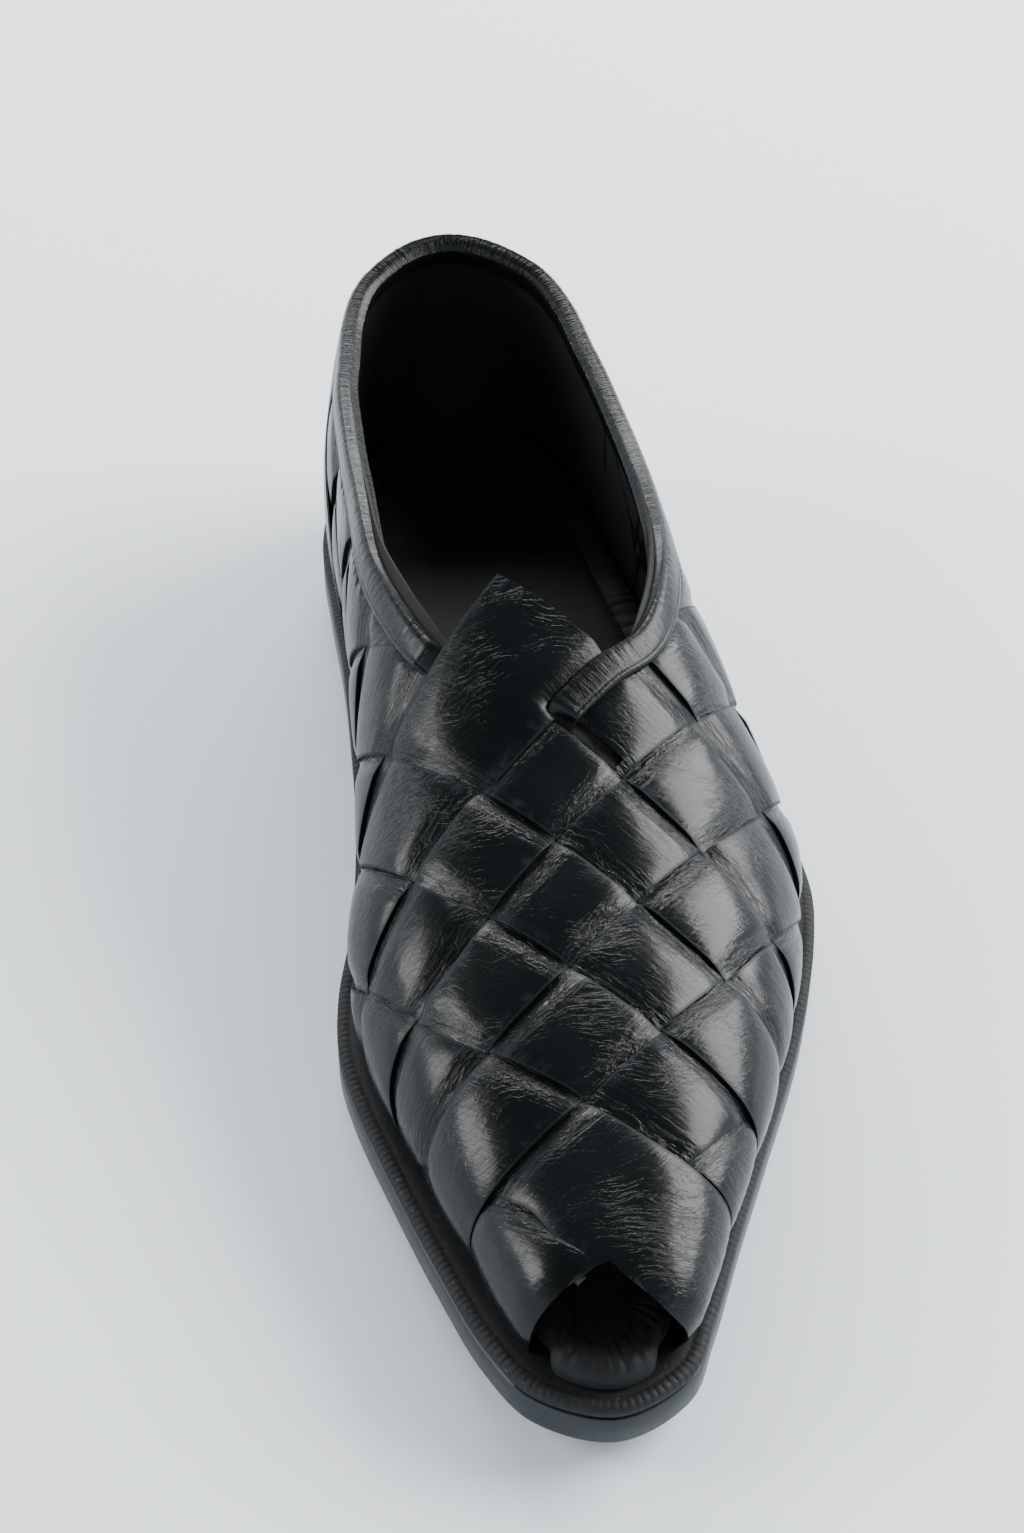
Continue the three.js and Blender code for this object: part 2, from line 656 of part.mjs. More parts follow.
// Plan of the tongue's cut end and free side, with everything in front of them
function tongueOutline() {
  const steps = Array.from({ length: TONGUE_STEPS + 1 }, (_, i) => i / TONGUE_STEPS);
  const end = steps.map((t) => weavePoint(-TONGUE_WIDTH * t, -TONGUE_LENGTH, 0).point);
  const free = steps.slice(1).map((t) => weavePoint(-TONGUE_WIDTH, -TONGUE_LENGTH * (1 - t), 0).point);
  const medialCorner = free[free.length - 1];
  return [
    new THREE.Vector3(BALL_WIDTH, end[0].y, 0),
    ...end,
    ...free,
    new THREE.Vector3(-BALL_WIDTH, medialCorner.y, 0),
    new THREE.Vector3(-BALL_WIDTH, -LENGTH, 0),
    new THREE.Vector3(BALL_WIDTH, -LENGTH, 0),
  ];
}

// The gap at the toe, between the edges of the last two strips
function toeCut() {
  const grid = (height) => OPENING_LEVELS.map((level) => OPENING_FAN.map((share) => {
    const side = share < 0 ? MEDIAL : LATERAL;
    const around = Math.abs(share) * openingEdge[side](level);
    return offsetPoint(side, around, level, height);
  }));
  return solid(slab(grid(OPENING_CUT_OUT), grid(-OPENING_CUT_IN)));
}

// Stations of the collar binding, from the tongue's free side round the back to the tongue's end
function collarStops(margin) {
  const medialStart = weavePoint(-TONGUE_WIDTH, 0, 0).place.around + BINDING_CLEAR_OF_TONGUE;
  const lateralEnd = weavePoint(0, -TONGUE_LENGTH, 0).place.around + BINDING_CLEAR_OF_TONGUE / 2;
  const half = (side, end) => Array.from({ length: BINDING_STATIONS + 1 }, (_, i) => {
    const around = THREE.MathUtils.lerp(end - margin / LENGTH, 1, i / BINDING_STATIONS);
    return { side, around };
  });
  return [...half(MEDIAL, medialStart), ...half(LATERAL, lateralEnd).reverse().slice(1)];
}

// A point near the collar line: reach is measured up over the leather from that line, and what
// stands over the line goes straight on
function collarPoint({ side, around }, reach, height) {
  if (reach <= 0) return offsetPoint(side, around, levelBelowCollar(side, around, -reach), height);
  const level = collarLevel(side, around);
  const rim = offsetPoint(side, around, level, height);
  const below = lastPoint(side, around, level - NORMAL_STEP);
  const climb = lastPoint(side, around, level).sub(below).normalize();
  return rim.addScaledVector(climb, reach);
}

// A section of [reach, height] pairs carried round the collar and capped at both ends
function collarSweep(profile, margin) {
  const stops = collarStops(margin);
  const points = stops.flatMap((stop) => (
    profile.map(([reach, height]) => collarPoint(stop, reach, height))
  ));
  const count = profile.length;
  const triangles = [];
  for (let i = 0; i < stops.length - 1; i += 1) {
    for (let j = 0; j < count; j += 1) {
      const next = (j + 1) % count;
      const [near, far] = [i * count, (i + 1) * count];
      triangles.push(near + j, near + next, far + next, near + j, far + next, far + j);
    }
  }
  const corners = profile.map(([reach, height]) => new THREE.Vector2(reach, height));
  const clockwise = THREE.ShapeUtils.isClockWise(corners);
  const end = (stops.length - 1) * count;
  THREE.ShapeUtils.triangulateShape(corners, []).forEach(([a, b, c]) => {
    const [x, y, z] = clockwise ? [a, b, c] : [c, b, a];
    triangles.push(x, y, z, end + z, end + y, end + x);
  });
  return solid(geometryOf(points, triangles));
}

// Folded band: outside leg, round top, inside leg
function bindingProfile() {
  const outerSkin = -STRIP_THICKNESS;
  const innerSkin = LINING_FACE;
  const inside = innerSkin - FIT - BINDING_LEATHER;
  const middle = (BINDING_STAND + inside) / 2;
  const shoulder = BINDING_SHOULDER * BINDING_ROUND;
  return [
    [-BINDING_WIDTH / 2, outerSkin],
    [-BINDING_WIDTH, outerSkin],
    [-BINDING_WIDTH, BINDING_STAND],
    [-BINDING_WIDTH / 2, BINDING_STAND],
    [-BINDING_ROUND, BINDING_STAND],
    [shoulder / 2, BINDING_STAND - shoulder],
    [shoulder, middle],
    [shoulder / 2, inside + shoulder],
    [-BINDING_ROUND, inside],
    [-BINDING_INSIDE, inside],
    [-BINDING_INSIDE, innerSkin],
    [-BINDING_INSIDE / 2, innerSkin],
    [-BINDING_LEATHER, innerSkin],
    [shoulder - BINDING_LEATHER, middle],
    [-BINDING_LEATHER, outerSkin],
  ];
}

// The flat stretch of the band that runs over the tongue's edge to the throat
function throatBand(low, high, margin) {
  const reach = BINDING_WIDTH / STRIP_SPACING;
  const columns = [-THROAT_BAND_OVERHANG - margin, 0, reach / 2, reach + margin];
  const [backmost, ...others] = THROAT_BAND_ROWS;
  const shares = [backmost + margin, ...others, THROAT_BAND_FRONT - margin];
  const rows = shares.map((share) => -TONGUE_LENGTH * share);
  const heights = [high - STRIP_ROOT, high, high, high];
  const outer = rows.map((a) => columns.map((b, i) => weavePoint(b, a, heights[i]).point));
  const inner = rows.map((a) => columns.map((b) => weavePoint(b, a, low).point));
  return solid(slab(outer, inner));
}

// The lined wall under the strips, or the room that it needs with a margin round it
function liningWall(margin) {
  return lastShell(-STRIP_THICKNESS + margin, LINING_FACE - margin).subtract(collarCut(margin));
}

function toplineBinding() {
  const fold = collarSweep(bindingProfile(), 0);
  const band = throatBand(-STRIP_THICKNESS, BINDING_STAND, 0);
  return largestBody(fold.add(band).subtract(liningWall(FIT)).asOriginal().simplify(FACET_TOLERANCE));
}

// The space that the binding takes out of the strips
function bindingClearance() {
  const low = -STRIP_THICKNESS;
  const high = 4 * STRIP_THICKNESS;
  const profile = [
    [-BINDING_WIDTH / 2, low],
    [-BINDING_WIDTH - CURVE_FIT, low],
    [-BINDING_WIDTH - CURVE_FIT, high],
    [-BINDING_WIDTH / 2, high],
    [BINDING_WIDTH, high],
    [BINDING_WIDTH, low],
  ];
  return collarSweep(profile, CURVE_FIT).add(throatBand(low, high, CURVE_FIT / STRIP_SPACING));
}

// Smooth overlay round the back of the foot, between two heights over the weave. With a margin it is
// the room that the overlay takes out of the strips.
function counterPatch(low, high, margin) {
  const rises = Array.from({ length: COUNTER_LEVELS + 1 }, (_, i) => i / COUNTER_LEVELS);
  const levels = margin > 0 ? [-margin / BINDING_WIDTH, ...rises] : rises;
  const grid = (height) => levels.map((rise) => {
    const front = THREE.MathUtils.lerp(COUNTER_FRONT_FOOT, COUNTER_FRONT_TOP, Math.max(rise, 0));
    return Array.from({ length: 2 * COUNTER_STATIONS + 1 }, (_, j) => {
      const share = j / COUNTER_STATIONS - 1;
      const side = share < 0 ? MEDIAL : LATERAL;
      const around = 1 - Math.abs(share) * (1 - front + margin / LENGTH);
      const top = levelBelowCollar(side, around, BINDING_WIDTH + CURVE_FIT - margin);
      return offsetPoint(side, around, THREE.MathUtils.lerp(COUNTER_FOOT_LEVEL, top, rise), height);
    });
  });
  return solid(slab(grid(high), grid(low)));
}

function heelCounter() {
  const patch = counterPatch(-STRIP_THICKNESS, COUNTER_LEATHER - STRIP_THICKNESS + FIT, 0);
  return largestBody(patch.subtract(liningWall(FIT)).asOriginal().simplify(FACET_TOLERANCE));
}

function wovenUpper() {
  const strips = wovenStrips()
    .intersect(lastShell(STRIP_THICKNESS, -STRIP_THICKNESS - STRIP_ROOT))
    .subtract(bindingClearance())
    .subtract(counterPatch(-STRIP_THICKNESS - STRIP_ROOT, 2 * STRIP_THICKNESS, 2 * CURVE_FIT));
  const whole = liningWall(0).add(strips).subtract(collarCut(0)).subtract(toeCut());
  return largestBody(whole.asOriginal().simplify(FACET_TOLERANCE));
}

// One closed loop round the sole, inset from its outline, at a height that follows the station
function outlineLoop(inset, height) {
  const stop = (side, k) => {
    const around = k / OUTLINE_STATIONS;
    const point = outlinePoint(side, around);
    point.addScaledVector(outlineNormal(side, around), -inset(side, around));
    point.z = height(point.y);
    return point;
  };
  const last = OUTLINE_STATIONS - 1;
  const lateral = Array.from({ length: OUTLINE_STATIONS + 1 }, (_, k) => stop(LATERAL, k));
  const medial = Array.from({ length: last }, (_, k) => stop(MEDIAL, last - k));
  return [...lateral, ...medial];
}

// Sides between loops that stand one over the other; a ring closes on itself, a plate gets two caps
function stack(loops, isRing = false) {
  const count = 2 * OUTLINE_STATIONS;
  const triangles = [];
  const levels = isRing ? loops.length : loops.length - 1;
  for (let level = 0; level < levels; level += 1) {
    const low = level * count;
    const high = ((level + 1) % loops.length) * count;
    for (let k = 0; k < count; k += 1) {
      const next = (k + 1) % count;
      triangles.push(low + k, low + next, high + next, low + k, high + next, high + k);
    }
  }
  const cap = (start, turned) => {
    for (let k = 0; k < OUTLINE_STATIONS; k += 1) {
      const [a, b] = [start + k, start + k + 1];
      const [c, d] = [start + ((count - k - 1) % count), start + ((count - k) % count)];
      if (turned) triangles.push(c, b, a, d, c, a);
      else triangles.push(a, b, c, a, c, d);
    }
  };
  if (!isRing) {
    cap(0, true);
    cap((loops.length - 1) * count, false);
  }
  return solid(geometryOf(loops.flat(), triangles));
}

const evenInset = (inset) => () => inset;

function outsolePlate() {
  const over = (rise) => (y) => lift(y) + rise;
  return stack([
    outlineLoop(evenInset(SOLE_EDGE_ROUND), over(0)),
    outlineLoop(evenInset(0), over(SOLE_EDGE_ROUND)),
    outlineLoop(evenInset(0), over(OUTSOLE_THICKNESS - SOLE_EDGE_ROUND)),
    outlineLoop(evenInset(SOLE_EDGE_ROUND / 2), over(OUTSOLE_THICKNESS)),
  ]);
}

function weltRing() {
  const low = (y) => lift(y) + OUTSOLE_THICKNESS + FIT;
  return stack([
    outlineLoop(evenInset(SOLE_EDGE_ROUND / 2), low),
    outlineLoop(evenInset(0), (y) => (low(y) + weltTop(y)) / 2),
    outlineLoop(evenInset(SOLE_EDGE_ROUND / 2), weltTop),
    outlineLoop(evenInset(WELT_RING_WIDTH), weltTop),
    outlineLoop(evenInset(WELT_RING_WIDTH), low),
  ], true);
}

// A low block under the seat, cut straight across at its breast
function heelBlock() {
  const block = stack([
    outlineLoop(evenInset(HEEL_INSET + HEEL_TAPER), () => 0),
    outlineLoop(evenInset(HEEL_INSET), () => HEEL_LIFT),
  ]);
  const behind = new THREE.BoxGeometry(2 * BALL_WIDTH, LENGTH, CLEAR_OF_ALL);
  behind.translate(0, along(HEEL_BREAST_AT) + LENGTH / 2, 0);
  return block.intersect(solid(behind));
}

// Padded insole: a plug inside the welt, a full rim that rests on it and a lower bed
function insoleBed() {
  const edge = (extra) => (side, around) => {
    const reveal = section[`${sideName(side)}Reveal`](around) * WELT_REVEAL;
    const inside = reveal - LINING_FACE + CURVE_FIT;
    const mouth = openingEdge[side](0);
    const aside = THREE.MathUtils.smoothstep(around, 0, mouth);
    const shown = THREE.MathUtils.lerp(INSOLE_TOE_REACH * WELT_REVEAL, reveal, aside);
    const tuck = [mouth - INSOLE_TUCK_START, mouth - INSOLE_TUCK_END];
    const hidden = THREE.MathUtils.smoothstep(around, ...tuck);
    return THREE.MathUtils.lerp(shown, inside, hidden) + extra;
  };
  const plug = evenInset(WELT_RING_WIDTH + CURVE_FIT);
  const over = (rise) => (y) => feather(y) + rise;
  return stack([
    outlineLoop(plug, (y) => lift(y) + OUTSOLE_THICKNESS + FIT),
    outlineLoop(plug, over(0)),
    outlineLoop(edge(0), over(0)),
    outlineLoop(edge(0), over(INSOLE_RIM_RISE - INSOLE_ROUND)),
    outlineLoop(edge(INSOLE_ROUND), over(INSOLE_RIM_RISE)),
    outlineLoop(edge(INSOLE_RIM_WIDTH - INSOLE_ROUND), over(INSOLE_RIM_RISE)),
    outlineLoop(edge(INSOLE_RIM_WIDTH), over(INSOLE_BED_RISE)),
  ]);
}

function piece(name, body, material) {
  const finish = new THREE.MeshStandardMaterial(material);
  const mesh = new THREE.Mesh(geometryFromSolid(body), finish);
  mesh.name = name;
  return mesh;
}

// The whole shoe, moved so that its box stands centred over the origin
function jutti() {
  const shoe = new THREE.Group();
  shoe.add(
    piece("outsole", outsolePlate(), SOLE_RUBBER),
    piece("welt", weltRing(), WELT_RUBBER),
    piece("heel", heelBlock(), SOLE_RUBBER),
    piece("insole", insoleBed(), LINING_LEATHER),
    piece("upper", wovenUpper(), LEATHER),
    piece("counter", heelCounter(), SMOOTH_LEATHER),
    piece("topline_binding", toplineBinding(), SMOOTH_LEATHER),
  );
  const centre = new THREE.Box3().setFromObject(shoe).getCenter(new THREE.Vector3());
  shoe.position.set(-centre.x, -centre.y, 0);
  return shoe;
}

export default jutti();
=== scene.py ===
"""Woven open-toe leather jutti, the left shoe of a pair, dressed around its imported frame.

The toe points along -Y and the outer side of the foot is +X. Shapes are worked out in millimetres on
the last, the form that the leather is stretched over, and carried to metres as each mesh is finished.
"""

from __future__ import annotations

import logging
import math
from collections.abc import Callable, Iterator
from dataclasses import dataclass, field
from enum import Enum

import bmesh
import bpy
import numpy as np
from mathutils import Matrix, Vector

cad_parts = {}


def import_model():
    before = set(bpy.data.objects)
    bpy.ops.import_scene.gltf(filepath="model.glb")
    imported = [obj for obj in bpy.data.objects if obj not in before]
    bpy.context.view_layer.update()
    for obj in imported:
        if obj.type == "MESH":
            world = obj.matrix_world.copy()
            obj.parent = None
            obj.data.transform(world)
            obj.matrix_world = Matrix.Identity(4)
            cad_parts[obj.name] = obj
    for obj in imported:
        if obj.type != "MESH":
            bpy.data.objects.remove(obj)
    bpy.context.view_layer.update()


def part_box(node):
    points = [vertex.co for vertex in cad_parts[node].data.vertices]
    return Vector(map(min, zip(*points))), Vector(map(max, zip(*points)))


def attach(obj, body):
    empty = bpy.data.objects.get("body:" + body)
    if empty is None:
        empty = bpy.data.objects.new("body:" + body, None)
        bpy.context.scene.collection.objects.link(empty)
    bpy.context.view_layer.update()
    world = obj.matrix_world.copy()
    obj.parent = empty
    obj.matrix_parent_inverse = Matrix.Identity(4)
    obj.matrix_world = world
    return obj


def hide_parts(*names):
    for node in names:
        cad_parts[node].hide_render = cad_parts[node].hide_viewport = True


LOG = logging.getLogger("jutti")
MM = 0.001
BODY = "root"

Array = np.ndarray
Socket = bpy.types.NodeSocket


class Side(Enum):
    """The two sides of the foot."""

    MEDIAL = -1
    LATERAL = 1


class Family(Enum):
    """The two directions of the weave, named for where a strip runs as it goes forward."""

    TO_LATERAL = "A"
    TO_MEDIAL = "B"


def smooth_step(x: Array, low: float, high: float) -> Array:
    """A soft step from 0 at low to 1 at high."""
    t = np.clip((np.asarray(x, float) - low) / (high - low), 0, 1)
    return t * t * (3 - 2 * t)


def unit(vectors: Array) -> Array:
    """The same vectors, one unit long."""
    return vectors / np.maximum(np.linalg.norm(vectors, axis=-1, keepdims=True), 1e-12)


class Column:
    """A smooth function through one column of a table, level at both of its ends."""

    def __init__(self, xs: Array, ys: Array) -> None:
        """Works out the slopes that keep the column's shape.

        Args:
            xs: rising places of the rows.
            ys: the column's values there.
        """
        self.xs, self.ys = np.asarray(xs, float), np.asarray(ys, float)
        step, rate = np.diff(self.xs), np.diff(self.ys) / np.diff(self.xs)
        self.slopes = np.zeros(len(self.xs))
        for i in range(1, len(step)):
            if rate[i - 1] * rate[i] > 0:
                before = 2 * step[i] + step[i - 1]
                after = step[i] + 2 * step[i - 1]
                self.slopes[i] = (before + after) / (before / rate[i - 1] + after / rate[i])

    def __call__(self, x: Array) -> Array:
        """The value at x, held at the ends.

        Args:
            x: places along the table.

        Returns:
            The column's smooth values there.
        """
        at = np.clip(np.asarray(x, float), self.xs[0], self.xs[-1])
        i = np.clip(np.searchsorted(self.xs, at, side="left") - 1, 0, len(self.xs) - 2)
        h = self.xs[i + 1] - self.xs[i]
        t = (at - self.xs[i]) / h
        rest = 1 - t
        start = (1 + 2 * t) * rest * rest * self.ys[i] + t * rest * rest * h * self.slopes[i]
        end = t * t * (3 - 2 * t) * self.ys[i + 1] - t * t * rest * h * self.slopes[i + 1]
        return start + end


@dataclass(frozen=True)
class LastSizes:
    """Driving sizes of the last and of the bottom, in millimetres, and stations as shares of length."""

    length: float = 304.0
    ball_width: float = 106.0
    instep_rise: float = 54.0
    back_rise: float = 60.0
    toe_spring: float = 6.3
    heel_lift: float = 9.0
    outsole: float = 7.5
    welt: float = 3.2
    reveal: float = 8.0
    fit: float = 0.3
    throat_at: float = 0.444
    ball_front_at: float = 0.303
    waist_start_at: float = 0.418
    seat_start_at: float = 0.697
    heel_breast_at: float = 0.725
    toe_tip_side: float = -0.07
    spring_power: float = 1.8

    def along(self, at: Array) -> Array:
        """The Y of a station."""
        return (np.asarray(at, float) - 0.5) * self.length

    def lift(self, y: Array) -> Array:
        """Height of the sole's underside: toe spring, a flat tread, the arch, then the flat seat.

        Args:
            y: places along the shoe.

        Returns:
            The heights there.
        """
        toe = np.clip((self.along(self.ball_front_at) - y) / (self.ball_front_at * self.length), 0, 1)
        arch = smooth_step(y, self.along(self.waist_start_at), self.along(self.seat_start_at))
        return self.toe_spring * toe**self.spring_power + self.heel_lift * arch

    def welt_top(self, y: Array) -> Array:
        """Height of the welt's upper face."""
        return self.lift(y) + self.outsole + self.fit + self.welt


# Sole outline: station, then the medial and lateral side positions as shares of the ball width
OUTLINE = np.array([
    (0.022, -0.205, 0.066),
    (0.062, -0.272, 0.130),
    (0.128, -0.332, 0.217),
    (0.200, -0.387, 0.316),
    (0.270, -0.435, 0.413),
    (0.315, -0.452, 0.466),
    (0.365, -0.440, 0.515),
    (0.420, -0.404, 0.548),
    (0.475, -0.376, 0.539),
    (0.540, -0.356, 0.500),
    (0.610, -0.345, 0.457),
    (0.690, -0.340, 0.415),
    (0.770, -0.345, 0.379),
    (0.850, -0.342, 0.345),
    (0.920, -0.290, 0.296),
    (0.975, -0.185, 0.196),
])

# Sections of the last: share of the outline from the toe tip, then the crest's station, rise and side
# as shares of the length, the instep rise and the ball width, then reveal, bulge, climb and shoulder of
# the medial side and of the lateral side
SECTION_NAMES = ("around", "crest_at", "crest_rise", "crest_side",
                 "medial_reveal", "medial_bulge", "medial_climb", "medial_shoulder",
                 "lateral_reveal", "lateral_bulge", "lateral_climb", "lateral_shoulder")
SECTIONS = np.array([
    (0.00, 0.085, 0.39, -0.066, 0.66, 0.028, 0.26, 0.075, 0.66, 0.028, 0.26, 0.075),
    (0.06, 0.090, 0.40, -0.064, 0.64, 0.047, 0.26, 0.090, 0.54, 0.092, 0.30, 0.104),
    (0.13, 0.150, 0.48, -0.054, 0.78, 0.063, 0.29, 0.120, 0.50, 0.117, 0.35, 0.137),
    (0.22, 0.225, 0.60, -0.040, 0.69, 0.077, 0.37, 0.160, 0.41, 0.127, 0.40, 0.177),
    (0.31, 0.310, 0.71, -0.025, 0.65, 0.083, 0.44, 0.192, 0.47, 0.105, 0.43, 0.217),
    (0.40, 0.400, 0.85, -0.009, 0.56, 0.096, 0.56, 0.215, 0.54, 0.070, 0.45, 0.248),
    (0.49, 0.490, 1.04, 0.008, 0.41, 0.092, 0.67, 0.233, 0.54, 0.033, 0.54, 0.278),
    (0.59, 0.590, 1.17, 0.015, 0.30, 0.080, 0.83, 0.241, 0.53, 0.014, 0.70, 0.288),
    (0.70, 0.680, 1.28, 0.015, 0.25, 0.047, 1.02, 0.222, 0.47, 0.030, 0.89, 0.269),
    (0.82, 0.760, 1.39, 0.013, 0.25, 0.033, 1.11, 0.232, 0.42, 0.051, 1.01, 0.274),
    (0.93, 0.790, 1.47, 0.004, 0.25, 0.120, 1.15, 0.325, 0.33, 0.120, 1.12, 0.345),
    (1.00, 0.800, 1.48, 0.000, 0.25, 0.193, 1.13, 0.358, 0.25, 0.193, 1.13, 0.358),
])

# Collar line: station and height over the welt as a share of the back's rise
COLLAR = np.array([
    (0.40, 0.890), (0.49, 0.875), (0.55, 0.843), (0.63, 0.792), (0.72, 0.783),
    (0.80, 0.807), (0.87, 0.850), (0.93, 0.908), (1.00, 0.990),
])

# Toe opening: level of the wall, and the share of the outline where its medial and lateral edges lie
TOE_OPENING = np.array([
    (-0.12, 0.072, 0.058), (0.12, 0.064, 0.052), (0.34, 0.059, 0.043),
    (0.55, 0.048, 0.033), (0.68, 0.030, 0.020), (0.79, 0.001, 0.001),
])


class Last:
    """The form that the leather is stretched over, as a surface of side, around and level.

    Side is -1 or 1, around is the share of the sole's half outline from the toe tip, and level runs
    from 0 at the foot of the upper to 1 on the crest.
    """

    STATIONS = 480
    STEP = 0.004

    def __init__(self, sizes: LastSizes) -> None:
        """Lays out the sole's outline and the section columns.

        Args:
            sizes: driving sizes of the shoe.
        """
        self.sizes = sizes
        self.section = {
            name: Column(SECTIONS[:, 0], SECTIONS[:, i]) for i, name in enumerate(SECTION_NAMES) if i
        }
        self.collar_rise = Column(COLLAR[:, 0], COLLAR[:, 1])
        self.opening = {
            -1: Column(TOE_OPENING[:, 0], TOE_OPENING[:, 1]),
            1: Column(TOE_OPENING[:, 0], TOE_OPENING[:, 2]),
        }
        toe = (sizes.toe_tip_side * sizes.ball_width, float(sizes.along(0)))
        back = (0.0, float(sizes.along(1)))
        ys = sizes.along(OUTLINE[:, 0])
        medial = np.column_stack([OUTLINE[:, 1] * sizes.ball_width, ys])
        lateral = np.column_stack([OUTLINE[:, 2] * sizes.ball_width, ys])
        knots = np.vstack([toe, lateral, back, medial[::-1]])
        shares = np.linspace(0, 0.5, self.STATIONS + 1)
        self.half = {1: self.loop_points(knots, shares), -1: self.loop_points(knots, 1 - shares)}
        self.run = {
            side: np.concatenate([[0], np.cumsum(np.linalg.norm(np.diff(points, axis=0), axis=1))])
            for side, points in self.half.items()
        }

    @staticmethod
    def loop_points(knots: Array, shares: Array) -> Array:
        """Points of a closed centripetal curve through the knots.

        Args:
            knots: the points that it passes, in plan.
            shares: places on it as shares of its knots.

        Returns:
            The points there.
        """
        count = len(knots)
        at = shares * count
        i = np.floor(at + 1e-9).astype(int)
        t = (at - i)[:, None]
        p0, p1, p2, p3 = (knots[(i + k) % count] for k in (-1, 0, 1, 2))
        gaps = [np.sum((b - a) ** 2, axis=1)[:, None] ** 0.25 for a, b in ((p0, p1), (p1, p2), (p2, p3))]
        d0, d1, d2 = gaps
        leave = ((p1 - p0) / d0 - (p2 - p0) / (d0 + d1) + (p2 - p1) / d1) * d1
        arrive = ((p2 - p1) / d1 - (p3 - p1) / (d1 + d2) + (p3 - p2) / d2) * d1
        square = -3 * p1 + 3 * p2 - 2 * leave - arrive
        cube = 2 * p1 - 2 * p2 + leave + arrive
        return p1 + leave * t + square * t**2 + cube * t**3

    def outline(self, side: Array, around: Array) -> Array:
        """Points of the sole's outline in plan; a step past the tip or the back goes on round it.

        Args:
            side: -1 or 1 for each point.
            around: share of that half outline.

        Returns:
            The plan points.
        """
        side, around = np.broadcast_arrays(np.asarray(side), np.asarray(around, float))
        turned = (around < 0) | (around > 1)
        side = np.where(turned, -side, side)
        around = np.where(around < 0, -around, np.where(around > 1, 2 - around, around))
        halves = {
            s: np.stack([np.interp(around * self.run[s][-1], self.run[s], self.half[s][:, k])
                         for k in (0, 1)], axis=-1)
            for s in (-1, 1)
        }
        return np.where((side < 0)[..., None], halves[-1], halves[1])

    def outline_normal(self, side: Array, around: Array) -> Array:
        """Outward direction of the outline in plan.

        Args:
            side: -1 or 1 for each point.
            around: share of that half outline.

        Returns:
            Unit vectors in plan.
        """
        step = 2 / self.STATIONS
        run = self.outline(side, around + step) - self.outline(side, around - step)
        return unit(np.stack([run[..., 1], -run[..., 0]], axis=-1) * np.asarray(side)[..., None])

    def inset(self, side: Array, around: Array, inset: Array) -> Array:
        """Points of the outline, moved inwards by inset, in plan."""
        return self.outline(side, around) - self.outline_normal(side, around) * np.asarray(inset)[..., None]

    def surface(self, side: Array, around: Array, level: Array) -> Array:
        """Points of the upper's outer face; a step past the tip, the back or the crest goes on.

        Args:
            side: -1 or 1 for each point.
            around: share of the half outline.
            level: from 0 at the foot to 1 on the crest.

        Returns:
            Points in millimetres.
        """
        side, around, level = np.broadcast_arrays(np.asarray(side), np.asarray(around, float),
                                                  np.asarray(level, float))
        side = np.where((around < 0) | (around > 1), -side, side)
        around = np.where(around < 0, -around, np.where(around > 1, 2 - around, around))
        side = np.where(level > 1, -side, side)
        level = np.where(level > 1, 2 - level, level)
        sizes = self.sizes

        def of_side(name: str) -> Array:
            """One section column for each point's own side."""
            medial = self.section[f"medial_{name}"](around)
            return np.where(side < 0, medial, self.section[f"lateral_{name}"](around))

        out = self.outline_normal(side, around)
        foot = self.outline(side, around) - out * (of_side("reveal") * sizes.reveal)[..., None]
        foot_z = sizes.welt_top(foot[..., 1]) + sizes.fit
        crest_x = self.section["crest_side"](around) * sizes.ball_width
        crest_y = sizes.along(self.section["crest_at"](around))
        crest = np.stack([crest_x, crest_y], axis=-1)
        crest_z = sizes.welt_top(crest_y) + self.section["crest_rise"](around) * sizes.instep_rise
        spread = unit(foot - crest)
        rise = foot + out * (of_side("bulge") * sizes.ball_width)[..., None]
        rise_z = foot_z + of_side("climb") * sizes.instep_rise
        shoulder = crest + spread * (of_side("shoulder") * sizes.ball_width)[..., None]
        t = level[..., None]
        plan = ((1 - t) ** 3 * foot + 3 * t * (1 - t) ** 2 * rise + 3 * t * t * (1 - t) * shoulder
                + t**3 * crest)
        t = level
        z = ((1 - t) ** 3 * foot_z + 3 * t * (1 - t) ** 2 * rise_z + (3 * t * t * (1 - t) + t**3) * crest_z)
        return np.concatenate([plan, z[..., None]], axis=-1)

    def normal(self, side: Array, around: Array, level: Array) -> Array:
        """Outward unit normals of the surface."""
        run = self.surface(side, around + self.STEP, level) - self.surface(side, around - self.STEP, level)
        climb = self.surface(side, around, level + self.STEP) - self.surface(side, around, level - self.STEP)
        return unit(np.cross(run, climb) * np.asarray(side)[..., None])

    def offset(self, side: Array, around: Array, level: Array, height: Array) -> Array:
        """Surface points, raised by height along the normal."""
        height = np.asarray(height, float)
        return self.surface(side, around, level) + self.normal(side, around, level) * height[..., None]

    def collar_height(self, y: Array) -> Array:
        """Height of the collar line at a place along the shoe."""
        rise = self.collar_rise(y / self.sizes.length + 0.5)
        return self.sizes.welt_top(y) + rise * self.sizes.back_rise

    def collar_level(self, side: Array, around: Array) -> Array:
        """Level of the collar line on each section, found by halving.

        Args:
            side: -1 or 1 for each section.
            around: share of the half outline.

        Returns:
            The levels, 1 where the section stays under the line.
        """
        low, high = np.zeros(np.shape(around)), np.ones(np.shape(around))
        for _ in range(24):
            middle = (low + high) / 2
            point = self.surface(side, around, middle)
            under = point[..., 2] < self.collar_height(point[..., 1])
            low, high = np.where(under, middle, low), np.where(under, high, middle)
        return (low + high) / 2

